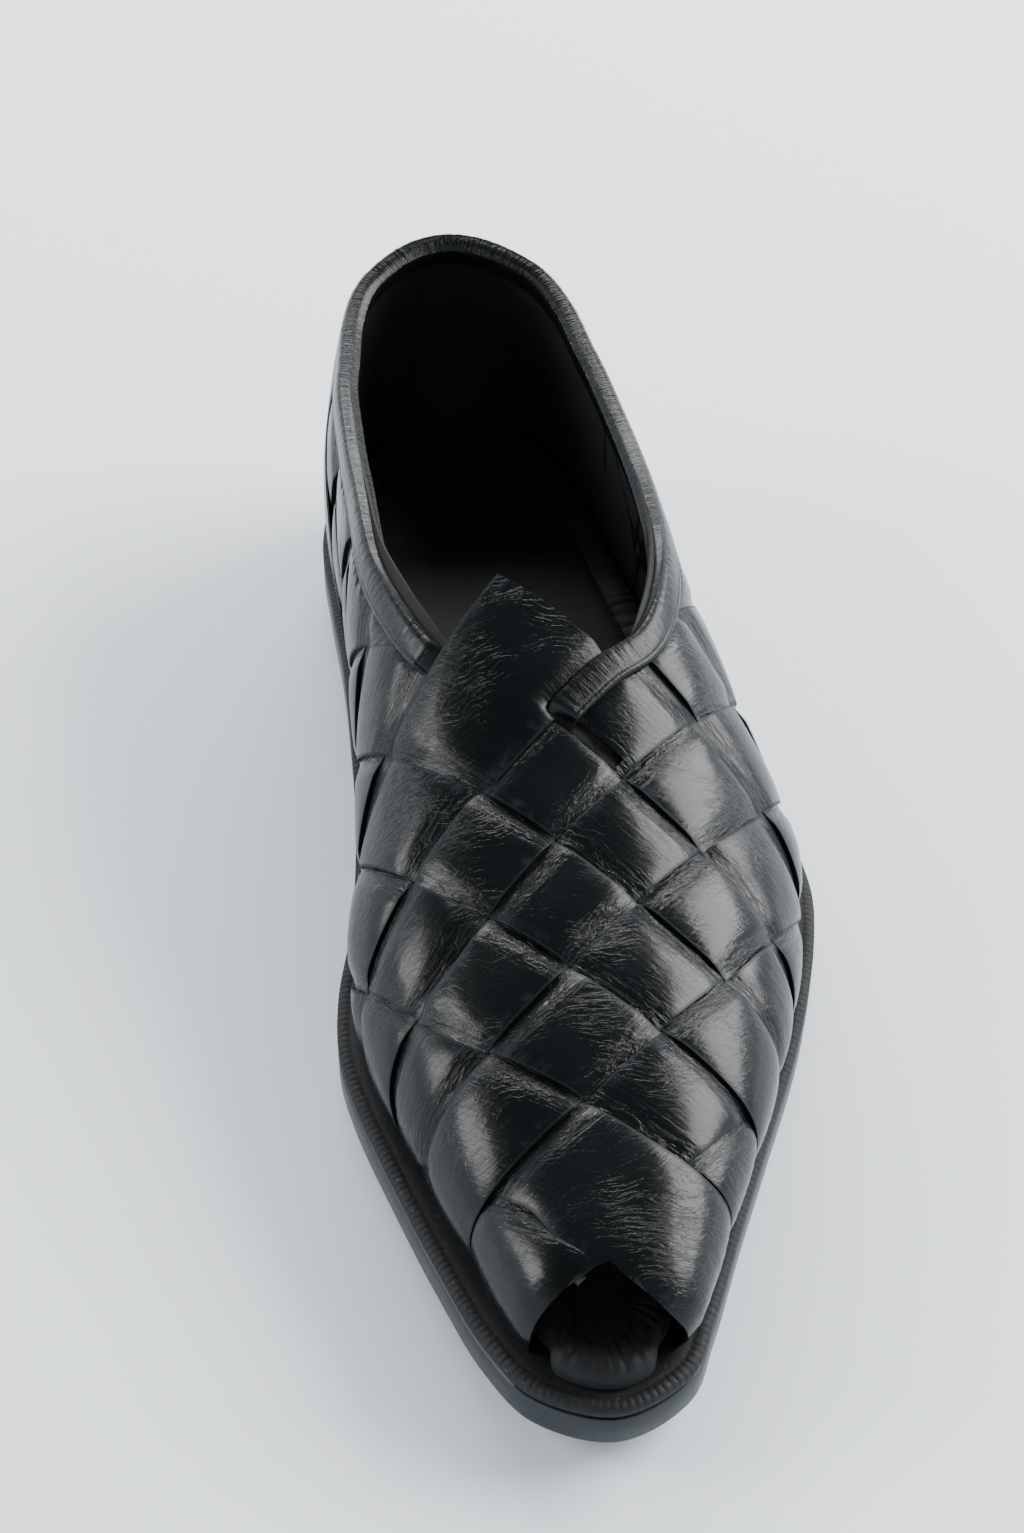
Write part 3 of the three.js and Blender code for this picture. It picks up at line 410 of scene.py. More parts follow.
    def nearest(self, points: Array, side: Array, around: Array, level: Array) -> tuple[Array, Array]:
        """The place on the surface that is nearest to each point, from a guess close by.

        Args:
            points: points in millimetres.
            side: side of each guess.
            around: around of each guess.
            level: level of each guess.

        Returns:
            The around and the level of the nearest places, on the guess's side.
        """
        step = self.STEP
        for _ in range(6):
            here = self.surface(side, around, level)
            run = (self.surface(side, around + step, level) - here) / step
            climb = (self.surface(side, around, level + step) - here) / step
            gap = points - here
            a, b, c = (run * run).sum(-1), (run * climb).sum(-1), (climb * climb).sum(-1)
            p, q = (run * gap).sum(-1), (climb * gap).sum(-1)
            spare = np.maximum(a * c - b * b, 1e-9)
            around = around + np.clip((p * c - q * b) / spare, -0.03, 0.03)
            level = level + np.clip((a * q - b * p) / spare, -0.1, 0.1)
        return around, level


@dataclass(frozen=True)
class WeaveSizes:
    """Sizes of the weave in millimetres, and its places counted in diamonds."""

    pitch: float = 28.9
    spread: float = 29.5
    spread_growth: float = 0.054
    medial_widening: float = 0.47
    lateral_widening: float = 0.2
    widening_start: float = 1.73
    widening_length: float = 2.25
    widening_power: float = 0.84
    tongue_width: float = 1.4
    tongue_length: float = 0.95
    quarter_step: float = 1.15
    quarter_slot: float = 0.14
    opening: int = 4
    first: int = -6
    last: int = 5


class Weave:
    """The weave laid over the last like cloth over a ridge, with coordinates counted in diamonds."""

    STATIONS = 240
    LEVELS = 40

    def __init__(self, last: Last, sizes: WeaveSizes) -> None:
        """Measures the last once, station by station.

        Args:
            last: the form under the weave.
            sizes: sizes of the weave.
        """
        self.last, self.sizes = last, sizes
        self.stations = {side: self.develop(side) for side in (-1, 1)}

    def develop(self, side: int) -> dict[str, Array]:
        """Ridge distance, heading and arc lengths of one side's stations.

        Args:
            side: -1 or 1.

        Returns:
            Arrays named around, forward, heading and arcs.
        """
        around = np.linspace(0, 1, self.STATIONS + 1)
        levels = 1 - np.linspace(0, 1, self.LEVELS + 1)
        grid = self.last.surface(side, around[:, None], levels[None, :])
        arcs = np.zeros(grid.shape[:2])
        arcs[:, 1:] = np.cumsum(np.linalg.norm(np.diff(grid, axis=1), axis=2), axis=1)
        crest, foot = grid[:, 0], grid[:, -1]
        ridge = np.concatenate([[0], np.cumsum(np.linalg.norm(np.diff(crest, axis=0), axis=1))])
        heading = np.arctan2(np.abs(foot[:, 0] - crest[:, 0]), crest[:, 1] - foot[:, 1])
        throat = self.last.sizes.along(self.last.sizes.throat_at)
        origin = np.interp(throat, crest[:, 1], ridge)
        return {"around": around, "forward": origin - ridge, "heading": heading, "arcs": arcs}

    def place(self, aside: Array, forward: Array) -> dict[str, Array]:
        """Where points of the laid-out cloth lie on the last.

        Args:
            aside: distance from the ridge, negative to the medial side.
            forward: distance in front of the throat.

        Returns:
            Arrays named side, around, level and past, the distance beyond the foot.
        """
        side = np.where(aside < 0, -1, 1)
        found = {key: np.zeros(np.shape(aside)) for key in ("around", "level", "past")}
        for s in (-1, 1):
            mask = side == s
            if mask.any():
                for key, value in self.place_on_side(s, np.abs(aside[mask]), forward[mask]).items():
                    found[key][mask] = value
        return {"side": side, **found}

    def place_on_side(self, side: int, distance: Array, forward: Array) -> dict[str, Array]:
        """The same for points of one side.

        Args:
            side: -1 or 1.
            distance: distance from the ridge.
            forward: distance in front of the throat.

        Returns:
            Arrays named around, level and past.
        """
        st = self.stations[side]
        slant = np.cos(st["heading"]) / np.maximum(np.sin(st["heading"]), 1e-4)

        def miss(i: Array) -> Array:
            """How far each point lies behind station i's own line."""
            return st["forward"][i] + distance * slant[i] - forward

        low = np.zeros(len(distance), int)
        high = np.full(len(distance), self.STATIONS)
        while (high - low > 1).any():
            middle = (low + high) // 2
            ahead = miss(middle) > 0
            low = np.where(ahead, middle, low)
            high = np.where(ahead, high, middle)
        start, end = miss(low), miss(high)
        share = np.clip(start / np.where(np.abs(start - end) < 1e-9, 1e-9, start - end), 0, 1)

        def mix(values: Array) -> Array:
            """A station value between the two stations."""
            return values[low] * (1 - share) + values[high] * share

        arc = np.hypot(distance, forward - mix(st["forward"]))
        full = mix(st["arcs"][:, -1])
        level = np.zeros(len(distance))
        for station, weight in ((low, 1 - share), (high, share)):
            rows = st["arcs"][station]
            scaled = np.minimum(arc * rows[:, -1] / full, rows[:, -1])
            i = np.clip((rows <= scaled[:, None]).sum(1) - 1, 0, self.LEVELS - 1)
            pick = np.arange(len(i))
            part = (scaled - rows[pick, i]) / (rows[pick, i + 1] - rows[pick, i])
            level += weight * (1 - (i + part) / self.LEVELS)
        return {"around": mix(st["around"]), "level": level, "past": np.maximum(0, arc - full)}

    def find(self, across_b: Array, across_a: Array) -> dict[str, Array]:
        """Place on the last of points given by their two diamond counts.

        Args:
            across_b: count across the strips that run to the medial side.
            across_a: count across the strips that run to the lateral side.

        Returns:
            Arrays named side, around, level and past.
        """
        s = self.sizes
        column, row = (across_b - across_a) / 2, (across_b + across_a) / 2
        widening = np.where(column < 0, s.medial_widening, s.lateral_widening)
        reach = np.clip((row - s.widening_start) / s.widening_length, 0, 2)
        aside = s.spread * column * (1 + s.spread_growth * np.abs(column))
        return self.place(aside * (1 + widening * reach**s.widening_power), row * s.pitch)

    def limits(self, family: Family, index: int) -> tuple[float, float]:
        """Limits of one band, counted across it.

        Args:
            family: the band's direction.
            index: its number, 0 at the throat.

        Returns:
            The low and the high limit.
        """
        if index >= 0:
            return float(index), float(index + 1)
        step = self.sizes.tongue_width if family is Family.TO_MEDIAL else self.sizes.quarter_step
        if index == -1:
            return -step, 0.0
        near = (index + 1) * step
        return near - step, near - self.sizes.quarter_slot

    def on_top(self, b: int, a: int) -> Family:
        """Which direction lies on top where band b crosses band a."""
        if a == -1 and b == -1:
            return Family.TO_MEDIAL
        if b >= self.sizes.opening:
            return Family.TO_LATERAL
        if a >= self.sizes.opening:
            return Family.TO_MEDIAL
        return Family.TO_LATERAL if (b - a) % 2 == 0 else Family.TO_MEDIAL

    def runs(self, family: Family, index: int) -> Iterator[tuple[int, int]]:
        """Every stretch of a band that lies on top between two tucks.

        Args:
            family: the band's direction.
            index: its number.

        Yields:
            The first and the last crossed band of each stretch.
        """
        start = None
        tongue = family is Family.TO_MEDIAL and index == -1
        for other in range(self.sizes.first, self.sizes.last + 2):
            pair = (other, index) if family is Family.TO_LATERAL else (index, other)
            covered = other <= self.sizes.last and self.on_top(*pair) is family
            if tongue and other == -1 and start is not None:
                yield start, other - 1
                start = None
            if covered and start is None:
                start = other
            if not covered and start is not None:
                yield start, other - 1
                start = None


class Sheet:
    """A piece in the making: a grid of faces that a function carries to its place on the shoe."""

    def __init__(self, columns: int, rows: int) -> None:
        """Lays out the flat grid.

        Args:
            columns: faces along u.
            rows: faces along v.
        """
        self.bm = bmesh.new()
        self.longest_edge = 6.0
        bmesh.ops.create_grid(self.bm, x_segments=columns, y_segments=rows, size=0.5)
        flat = np.array([vert.co[:2] for vert in self.bm.verts])
        self.u, self.v = flat[:, 0] + 0.5, flat[:, 1] + 0.5

    def carry(self, points: Array, chart: Array | None = None, **marks: Array) -> None:
        """Moves every corner to its point and keeps a chart and marks with the faces.

        Args:
            points: one point in millimetres for each corner.
            chart: map coordinates in metres for each corner.
            marks: named numbers for each corner, which materials read.
        """
        layers = {name: self.bm.verts.layers.float.new(name) for name in marks}
        for i, vert in enumerate(self.bm.verts):
            vert.co = points[i]
            for name, layer in layers.items():
                vert[layer] = float(marks[name][i])
        if chart is not None:
            uv = self.bm.loops.layers.uv.new("Chart")
            self.bm.verts.index_update()
            for face in self.bm.faces:
                for loop in face.loops:
                    loop[uv].uv = chart[loop.vert.index]

    def drop(self, unwanted: Array) -> None:
        """Deletes the faces whose corners are all unwanted, and any that is pulled out of shape."""
        faces = [f for f in self.bm.faces if all(unwanted[v.index] for v in f.verts)
                 or max(edge.calc_length() for edge in f.edges) > self.longest_edge]
        bmesh.ops.delete(self.bm, geom=faces, context="FACES")

    def weld(self, within: float = 0.01) -> None:
        """Merges corners that lie within a distance and dissolves the edges and faces that collapse."""
        bmesh.ops.remove_doubles(self.bm, verts=self.bm.verts, dist=within)
        bmesh.ops.dissolve_degenerate(self.bm, dist=within / 2, edges=self.bm.edges)

    def thicken(self, thickness: float) -> None:
        """Gives the sheet a wall towards the inside of the shoe."""
        bmesh.ops.solidify(self.bm, geom=self.bm.faces, thickness=thickness)

    def heal(self, longest: float) -> None:
        """Closes the skin anew wherever a face is pulled longer than a length."""
        pulled = [f for f in self.bm.faces if max(edge.calc_length() for edge in f.edges) > longest]
        bmesh.ops.delete(self.bm, geom=pulled, context="FACES")
        bmesh.ops.holes_fill(self.bm, edges=[e for e in self.bm.edges if e.is_boundary], sides=0)

    def absorb(self, other: "Sheet") -> None:
        """Takes over another sheet's faces."""
        spare = bpy.data.meshes.new("spare")
        other.bm.to_mesh(spare)
        self.bm.from_mesh(spare)
        other.bm.free()
        bpy.data.meshes.remove(spare)

    def finish(self, name: str, material: bpy.types.Material, slot: str, *nodes: str,
               closed: bool = False) -> bpy.types.Object:
        """Makes the named piece in metres, dresses it and sets it on its body.

        Args:
            name: name of the piece.
            material: its finish.
            slot: the record's material slot; not used.
            nodes: the solids that it stands for.
            closed: whether the shape is closed, so that its normals can be worked out.

        Returns:
            The new object.
        """
        if closed:
            bmesh.ops.recalc_face_normals(self.bm, faces=self.bm.faces)
        bmesh.ops.scale(self.bm, vec=(MM, MM, MM), verts=self.bm.verts)
        for face in self.bm.faces:
            face.smooth = True
        mesh = bpy.data.meshes.new(name)
        self.bm.to_mesh(mesh)
        self.bm.free()
        mesh.materials.append(material)
        mesh.set_sharp_from_angle(angle=math.radians(42))
        piece = bpy.data.objects.new(name, mesh)
        bpy.context.scene.collection.objects.link(piece)
        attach(piece, BODY)
        if nodes:
            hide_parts(*nodes)
        LOG.info("%s: %d faces", name, len(mesh.polygons))
        return piece


class Bench:
    """Adds nodes to one material and links them."""

    def __init__(self, name: str) -> None:
        """Starts a material with an empty shader.

        Args:
            name: the finish's name.
        """
        self.material = bpy.data.materials.new(name)
        self.material.use_nodes = True
        self.tree = self.material.node_tree
        self.shader = self.tree.nodes["Principled BSDF"]

    def add(self, kind: str, inputs: dict[str | int, object] | None = None, **settings: object
            ) -> bpy.types.Node:
        """One node with its inputs set or linked.

        Args:
            kind: the node's type without its first words.
            inputs: a value or a socket for each named or numbered input.
            settings: the node's own properties.

        Returns:
            The node.
        """
        node = self.tree.nodes.new(f"ShaderNode{kind}")
        for key, value in settings.items():
            setattr(node, key, value)
        for key, value in (inputs or {}).items():
            if isinstance(value, bpy.types.NodeSocket):
                self.tree.links.new(value, node.inputs[key])
            else:
                node.inputs[key].default_value = value
        return node

    def math(self, operation: str, *values: object) -> Socket:
        """The result of one sum on sockets or numbers."""
        return self.add("Math", dict(enumerate(values)), operation=operation).outputs[0]

    def spread(self, value: Socket, low: float, high: float, start: float = 0, end: float = 1) -> Socket:
        """A number carried from one span to another, held at its ends."""
        inputs = {"Value": value, 1: low, 2: high, 3: start, 4: end}
        return self.add("MapRange", inputs, clamp=True, interpolation_type="SMOOTHSTEP").outputs[0]

    def noise(self, vector: Socket, scale: float, detail: float = 2, roughness: float = 0.5,
              distortion: float = 0) -> Socket:
        """A noise over a vector."""
        inputs = {"Vector": vector, "Scale": scale, "Detail": detail, "Roughness": roughness,
                  "Distortion": distortion}
        return self.add("TexNoise", inputs).outputs["Fac"]

    def stretch(self, vector: Socket, scale: tuple[float, float, float], turn: float = 0) -> Socket:
        """A vector with its own scale along each axis, turned first."""
        inputs = {"Vector": vector, "Scale": scale, "Rotation": (0, 0, turn)}
        return self.add("Mapping", inputs).outputs[0]

    def mark(self, name: str) -> Socket:
        """A number that the mesh keeps for its corners."""
        return self.add("Attribute", attribute_name=name).outputs["Fac"]

    def place(self) -> Socket:
        """Places on the shoe, in metres."""
        return self.add("TexCoord").outputs["Object"]

    def chart(self) -> Socket:
        """The piece's own map, in metres."""
        return self.add("UVMap", uv_map="Chart").outputs["UV"]

    def mix(self, share: Socket, low: tuple[float, ...], high: tuple[float, ...]) -> Socket:
        """A colour between two colours."""
        node = self.add("Mix", {0: share, 6: (*low, 1), 7: (*high, 1)}, data_type="RGBA")
        return node.outputs[2]

    def relief(self, *layers: tuple[Socket, float]) -> None:
        """Bump from several heights, each with its depth in metres."""
        normal = None
        for height, depth in layers:
            inputs = {"Height": height, "Distance": depth, "Strength": 1.0}
            if normal is not None:
                inputs["Normal"] = normal
            normal = self.add("Bump", inputs).outputs[0]
        self.tree.links.new(normal, self.shader.inputs["Normal"])

    def set(self, **values: object) -> None:
        """Sets or links the shader's own inputs; underscores stand for blanks."""
        for key, value in values.items():
            entry = self.shader.inputs[key.replace("_", " ")]
            if isinstance(value, bpy.types.NodeSocket):
                self.tree.links.new(value, entry)
            else:
                entry.default_value = value


@dataclass(frozen=True)
class PolishedLeather:
    """Black box leather: fine grain, creases across the strip and a waxed, slightly uneven gloss."""

    name: str
    dark: tuple[float, float, float] = (0.0022, 0.0027, 0.0030)
    pale: tuple[float, float, float] = (0.0058, 0.0068, 0.0074)
    raw_edge: tuple[float, float, float] = (0.0016, 0.0034, 0.0035)
    # Lighter grey for the strip edges: partly edge wear, partly a painted highlight standing in for the
    # whitish glints at the crossings.
    rub_and_painted_highlight: tuple[float, float, float] = (0.035, 0.041, 0.045)
    roughness: float = 0.20
    roughness_spread: float = 0.12
    coat: float = 0.10
    specular: float = 0.15
    grain_depth: float = 0.000007
    crease_depth: float = 0.00009
    bend_depth: float = 0.00020

    def make(self) -> bpy.types.Material:
        """Builds the material.

        Returns:
            The finish, which reads the piece's chart and its marks bend and edge.
        """
        b = Bench(self.name)
        place, chart = b.place(), b.chart()
        bend, edge = b.mark("bend"), b.mark("edge")
        grain = b.add("TexVoronoi", {"Vector": place, "Scale": 1500.0, "Randomness": 1.0},
                      feature="F1").outputs["Distance"]
        pores = b.noise(place, 2600.0, 2)
        hair = b.math("ADD", b.math("MULTIPLY", grain, 0.7), b.math("MULTIPLY", pores, 0.3))
        wander = b.noise(place, 60.0, 2)
        lean = b.add("VectorMath", {0: place, 1: b.add("CombineXYZ", {1: b.math(
            "MULTIPLY", wander, 0.012)}).outputs[0]}, operation="ADD").outputs[0]
        across_shoe = b.noise(b.stretch(lean, (170.0, 1150.0, 500.0)), 1.0, 3, 0.6, 0.6)
        across_strip = b.noise(b.stretch(chart, (1300.0, 160.0, 1.0)), 1.0, 3, 0.6, 0.8)
        patch = b.spread(b.noise(place, 48.0, 2), 0.46, 0.68)
        fold = b.spread(across_shoe, 0.38, 0.62)
        pucker = b.spread(across_strip, 0.36, 0.64)
        crease = b.math("MULTIPLY", fold, b.math("ADD", b.math("MULTIPLY", patch, 0.75), 0.2))
        pinch = b.math("MULTIPLY", pucker, bend)
        tone = b.noise(place, 70.0, 4, 0.6)
        # Lighter rub colour near the edges, broken by noise: partly edge wear, partly a painted highlight.
        rubbed_and_painted_highlight = b.math("MULTIPLY", b.spread(edge, 0.72, 0.9), b.spread(b.noise(place, 260.0, 3), 0.45, 0.75))
        colour = b.mix(tone, self.dark, self.pale)
        worn_and_highlit = b.add("Mix", {0: b.math("MULTIPLY", rubbed_and_painted_highlight, 0.30), 6: colour, 7: (*self.rub_and_painted_highlight, 1)},
                     data_type="RGBA").outputs[2]
        cut = b.add("Mix", {0: b.spread(edge, 0.93, 0.985), 6: worn_and_highlit, 7: (*self.raw_edge, 1)},
                    data_type="RGBA").outputs[2]
        gloss = b.math("ADD", self.roughness, b.math("MULTIPLY", self.roughness_spread, b.math(
            "ADD", b.math("SUBTRACT", tone, 0.5), b.math("MULTIPLY", patch, 0.35))))
        shine = b.math("ADD", gloss, b.math("MULTIPLY", b.spread(edge, 0.93, 0.985), 0.35))
        b.relief((b.noise(place, 90.0, 2), 0.00016), (crease, self.crease_depth), (pinch, self.bend_depth),
                 (hair, self.grain_depth))
        b.set(Base_Color=cut, Roughness=shine, Coat_Weight=self.coat, Coat_Roughness=0.16,
              Specular_IOR_Level=self.specular)
        return b.material


@dataclass(frozen=True)
class SoftLining:
    """Matt black lining leather with a soft nap and faint rubs."""

    name: str
    dark: tuple[float, float, float] = (0.0036, 0.0041, 0.0045)
    pale: tuple[float, float, float] = (0.0105, 0.0112, 0.0118)
    roughness: float = 0.62
    sheen: float = 0.03
    depth: float = 0.00012

    def make(self) -> bpy.types.Material:
        """Builds the material.

        Returns:
            The finish, in places on the shoe.
        """
        b = Bench(self.name)
        place = b.place()
        tone = b.noise(place, 110.0, 4, 0.65)
        nap = b.noise(place, 1700.0, 3, 0.6)
        folds = b.noise(b.stretch(place, (300.0, 900.0, 600.0)), 1.0, 3, 0.6, 1.0)
        b.relief((folds, self.depth), (nap, self.depth / 3))
        rough = b.math("ADD", self.roughness, b.math("MULTIPLY", b.math("SUBTRACT", tone, 0.5), 0.2))
        b.set(Base_Color=b.mix(tone, self.dark, self.pale), Roughness=rough, Sheen_Weight=self.sheen,
              Sheen_Roughness=0.5, Specular_IOR_Level=0.18)
        return b.material


@dataclass(frozen=True)
class Rubber:
    """Dark rubber or pressed composition: satin on the sole's edge, matt and pitted on the welt."""

    name: str
    dark: tuple[float, float, float]
    pale: tuple[float, float, float]
    roughness: float
    pit_scale: float
    pit_depth: float
    streak_depth: float
    dust: float
    specular: float = 0.3

    def make(self) -> bpy.types.Material:
        """Builds the material.

        Returns:
            The finish, in places on the shoe.
        """
        b = Bench(self.name)
        place = b.place()
        tone = b.noise(place, 60.0, 4, 0.6)
        pits = b.noise(place, self.pit_scale, 4, 0.7)
        streak = b.noise(b.stretch(place, (60.0, 60.0, 900.0)), 1.0, 3, 0.6)
        specks = b.spread(b.noise(place, 900.0, 2, 0.5), 0.70, 0.76)
        body = b.mix(tone, self.dark, self.pale)
        dusty = b.add("Mix", {0: b.math("MULTIPLY", specks, self.dust), 6: body, 7: (0.20, 0.21, 0.21, 1)},
                      data_type="RGBA").outputs[2]
        rough = b.math("ADD", self.roughness, b.math("MULTIPLY", b.math("SUBTRACT", pits, 0.5), 0.25))
        b.relief((streak, self.streak_depth), (pits, self.pit_depth))
        b.set(Base_Color=dusty, Roughness=rough, Specular_IOR_Level=self.specular)
        return b.material


@dataclass(frozen=True)
class WaxedThread:
    """Twisted, waxed black thread."""

    name: str
    dark: tuple[float, float, float] = (0.004, 0.004, 0.005)
    pale: tuple[float, float, float] = (0.020, 0.021, 0.022)
    roughness: float = 0.5

    def make(self) -> bpy.types.Material:
        """Builds the material.

        Returns:
            The finish, in places on the shoe.
        """
        b = Bench(self.name)
        twist = b.noise(b.stretch(b.place(), (2500.0, 2500.0, 2500.0), math.radians(40)), 1.0, 2)
        b.relief((twist, 0.00008))
        b.set(Base_Color=b.mix(twist, self.dark, self.pale), Roughness=self.roughness)
        return b.material


@dataclass
class RimLine:
    """The line that the collar's binding follows, from the tongue's free side round the back to the throat.

    It keeps, for each stop, the place on the last, the point, the way along, the way out of the leather
    and the way down over it.
    """

    weave: Weave
    stops: int = 420
    under_tongue: float = 7.0
    softness: int = 9
    throat_tuck: float = 0.30

    def __post_init__(self) -> None:
        """Follows the collar line round the shoe and the tongue's edge to the throat."""
        last, sizes = self.weave.last, self.weave.sizes
        start = self.weave.find(np.array([-sizes.tongue_width]), np.array([-0.1]))["around"][0]
        start -= self.under_tongue / 340
        join = self.weave.find(np.array([0.0]), np.array([-1.2]))["around"][0]
        medial = np.linspace(start, 1, 120)
        lateral = np.linspace(1, join, 110)[1:]
        betas = np.linspace(-0.98, self.throat_tuck, 50)
        edge = self.weave.find(np.zeros(len(betas)), betas)
        side = np.concatenate([np.full(len(medial), -1), np.full(len(lateral), 1), np.ones(len(betas), int)])
        around = np.concatenate([medial, lateral, edge["around"]])
        level = np.concatenate([last.collar_level(-1, medial), last.collar_level(1, lateral), edge["level"]])
        points = last.surface(side, around, level)
        run = np.concatenate([[0], np.cumsum(np.linalg.norm(np.diff(points, axis=0), axis=1))])
        even = np.linspace(0, run[-1], self.stops)
        path = np.column_stack([np.interp(even, run, points[:, k]) for k in range(3)])
        for _ in range(self.softness):
            path[1:-1] = path[1:-1] / 2 + (path[2:] + path[:-2]) / 4
        for _ in range(self.softness * 4):
            bend = self.bend_share(even, run[len(medial) + len(lateral) - 1])
            eased = path[1:-1] / 2 + (path[2:] + path[:-2]) / 4
            path[1:-1] += (eased - path[1:-1]) * bend[1:-1, None]
        guess = [np.interp(even, run, values) for values in (around, level)]
        self.side = np.where(even < run[len(medial) - 1], -1, 1)
        self.around, self.level = last.nearest(path, self.side, *guess)
        self.point = last.surface(self.side, self.around, self.level)
        self.run = np.concatenate([[0], np.cumsum(np.linalg.norm(np.diff(self.point, axis=0), axis=1))])
        self.length = self.run[-1]
        self.along = unit(np.gradient(self.point, self.run, axis=0))
        self.out = last.normal(self.side, self.around, self.level)
        self.down = unit(np.cross(self.out, self.along))
        self.on_tongue = smooth_step(even, run[len(medial) + len(lateral) - 1] - 9,
                                     run[len(medial) + len(lateral) - 1] + 3)

    @staticmethod
    def bend_share(even: Array, corner: float) -> Array:
        """How strongly the line is eased where it turns over the tongue."""
        return np.exp(-(((even - corner) / 14) ** 2))

    def distance(self, points: Array) -> tuple[Array, Array]:
        """Distance of each point from the line, and the stop it is nearest to.

        Args:
            points: points in millimetres.

        Returns:
            The distances and the stops' numbers.
        """
        near, stop = np.full(len(points), 1e9), np.zeros(len(points), int)
        for first in range(0, len(points), 4000):
            part = points[first:first + 4000]
            gaps = np.linalg.norm(part[:, None] - self.point[None, ::2], axis=2)
            near[first:first + 4000] = gaps.min(1)
            stop[first:first + 4000] = 2 * gaps.argmin(1)
        return near, stop

    def over(self, stop: Array, reach: Array, height: Array) -> Array:
        """Points beside the line.

        Args:
            stop: number of the stop, with a fraction, for each point.
            reach: distance down over the leather, negative above the line.
            height: height over the leather's outer face.

        Returns:
            Points in millimetres.
        """
        index = np.arange(self.stops)

        def at(values: Array) -> Array:
            """A stop's value at a fractional stop."""
            return np.interp(stop, index, values)

        def vector(values: Array) -> Array:
            """A stop's vector at a fractional stop."""
            return np.stack([np.interp(stop, index, values[:, k]) for k in range(3)], axis=-1)

        side = np.where(at(self.side.astype(float)) < 0, -1, 1)
        rim, out, down = vector(self.point), unit(vector(self.out)), unit(vector(self.down))
        below = np.maximum(reach, 0)
        goal = rim + down * below[:, None]
        last = self.weave.last
        around, level = last.nearest(goal, side, at(self.around), at(self.level))
        skin = last.surface(side, around, level)
        skin_out = last.normal(side, around, level)
        share = smooth_step(below, 0, 1.5)[:, None]
        foot = skin * share + rim * (1 - share)
        lean = unit(skin_out * share + out * (1 - share))
        return foot + down * np.minimum(reach, 0)[:, None] + lean * height[:, None]


@dataclass
class HeelCounter:
    """Smooth leather overlay round the back of the foot, with a thick cut front edge."""

    last: Last
    rim: RimLine
    front_foot: float = 0.715
    front_top: float = 0.835
    foot_level: float = 0.0
    top_level: float = 0.32
    stand: float = 0.5
    leather: float = 1.5
    tuck: float = 1.1
    columns: int = 300
    rows: int = 44

    def front(self, level: Array) -> Array:
        """Where the front edge lies at a level, as a share of the half outline."""
        rise = np.clip((level - self.foot_level) / (self.top_level - self.foot_level), 0, 1)
        return self.front_foot + (self.front_top - self.front_foot) * rise

    def build(self) -> Sheet:
        """Wraps the overlay round the last, down to the welt and up under the binding.

        Returns:
            The overlay.
        """
        sheet = Sheet(self.columns, self.rows)
        share = 2 * sheet.u - 1
        side = np.where(share < 0, -1, 1)
        cap = self.last.collar_level(side, 1 - 0.2 * np.abs(share)) - 0.03
        level = cap * sheet.v
        warped = np.sign(share) * (1 - (1 - np.abs(share)) ** 1.5 * 1.0)
        around = 1 - np.abs(warped) * (1 - self.front(level))
        skin = self.last.surface(side, around, level)
        reach = self.rim.distance(skin)[0]
        raised = smooth_step(reach, 5.5, 6.8)
        from_front = (1 - np.abs(warped)) * (1 - self.front(level)) * 340
        height = self.stand * raised - self.tuck * (1 - raised)
        height -= 0.4 * (1 - smooth_step(from_front, 0, 0.9))
        points = self.last.offset(side, around, level, height)
        chart = np.column_stack([sheet.v * 60, warped * 90]) * MM
        edge = 1 - smooth_step(from_front, 0.1, 0.9) * 0.3
        sheet.carry(points, chart, bend=np.full(len(level), 0.06), edge=edge)
        sheet.thicken(self.leather)
        return sheet

    def dress(self, sheet: Sheet, leather: bpy.types.Material) -> bpy.types.Object:
        """Turns the overlay into the named piece."""
        return sheet.finish("heel_counter", leather, "smooth_leather", "counter")


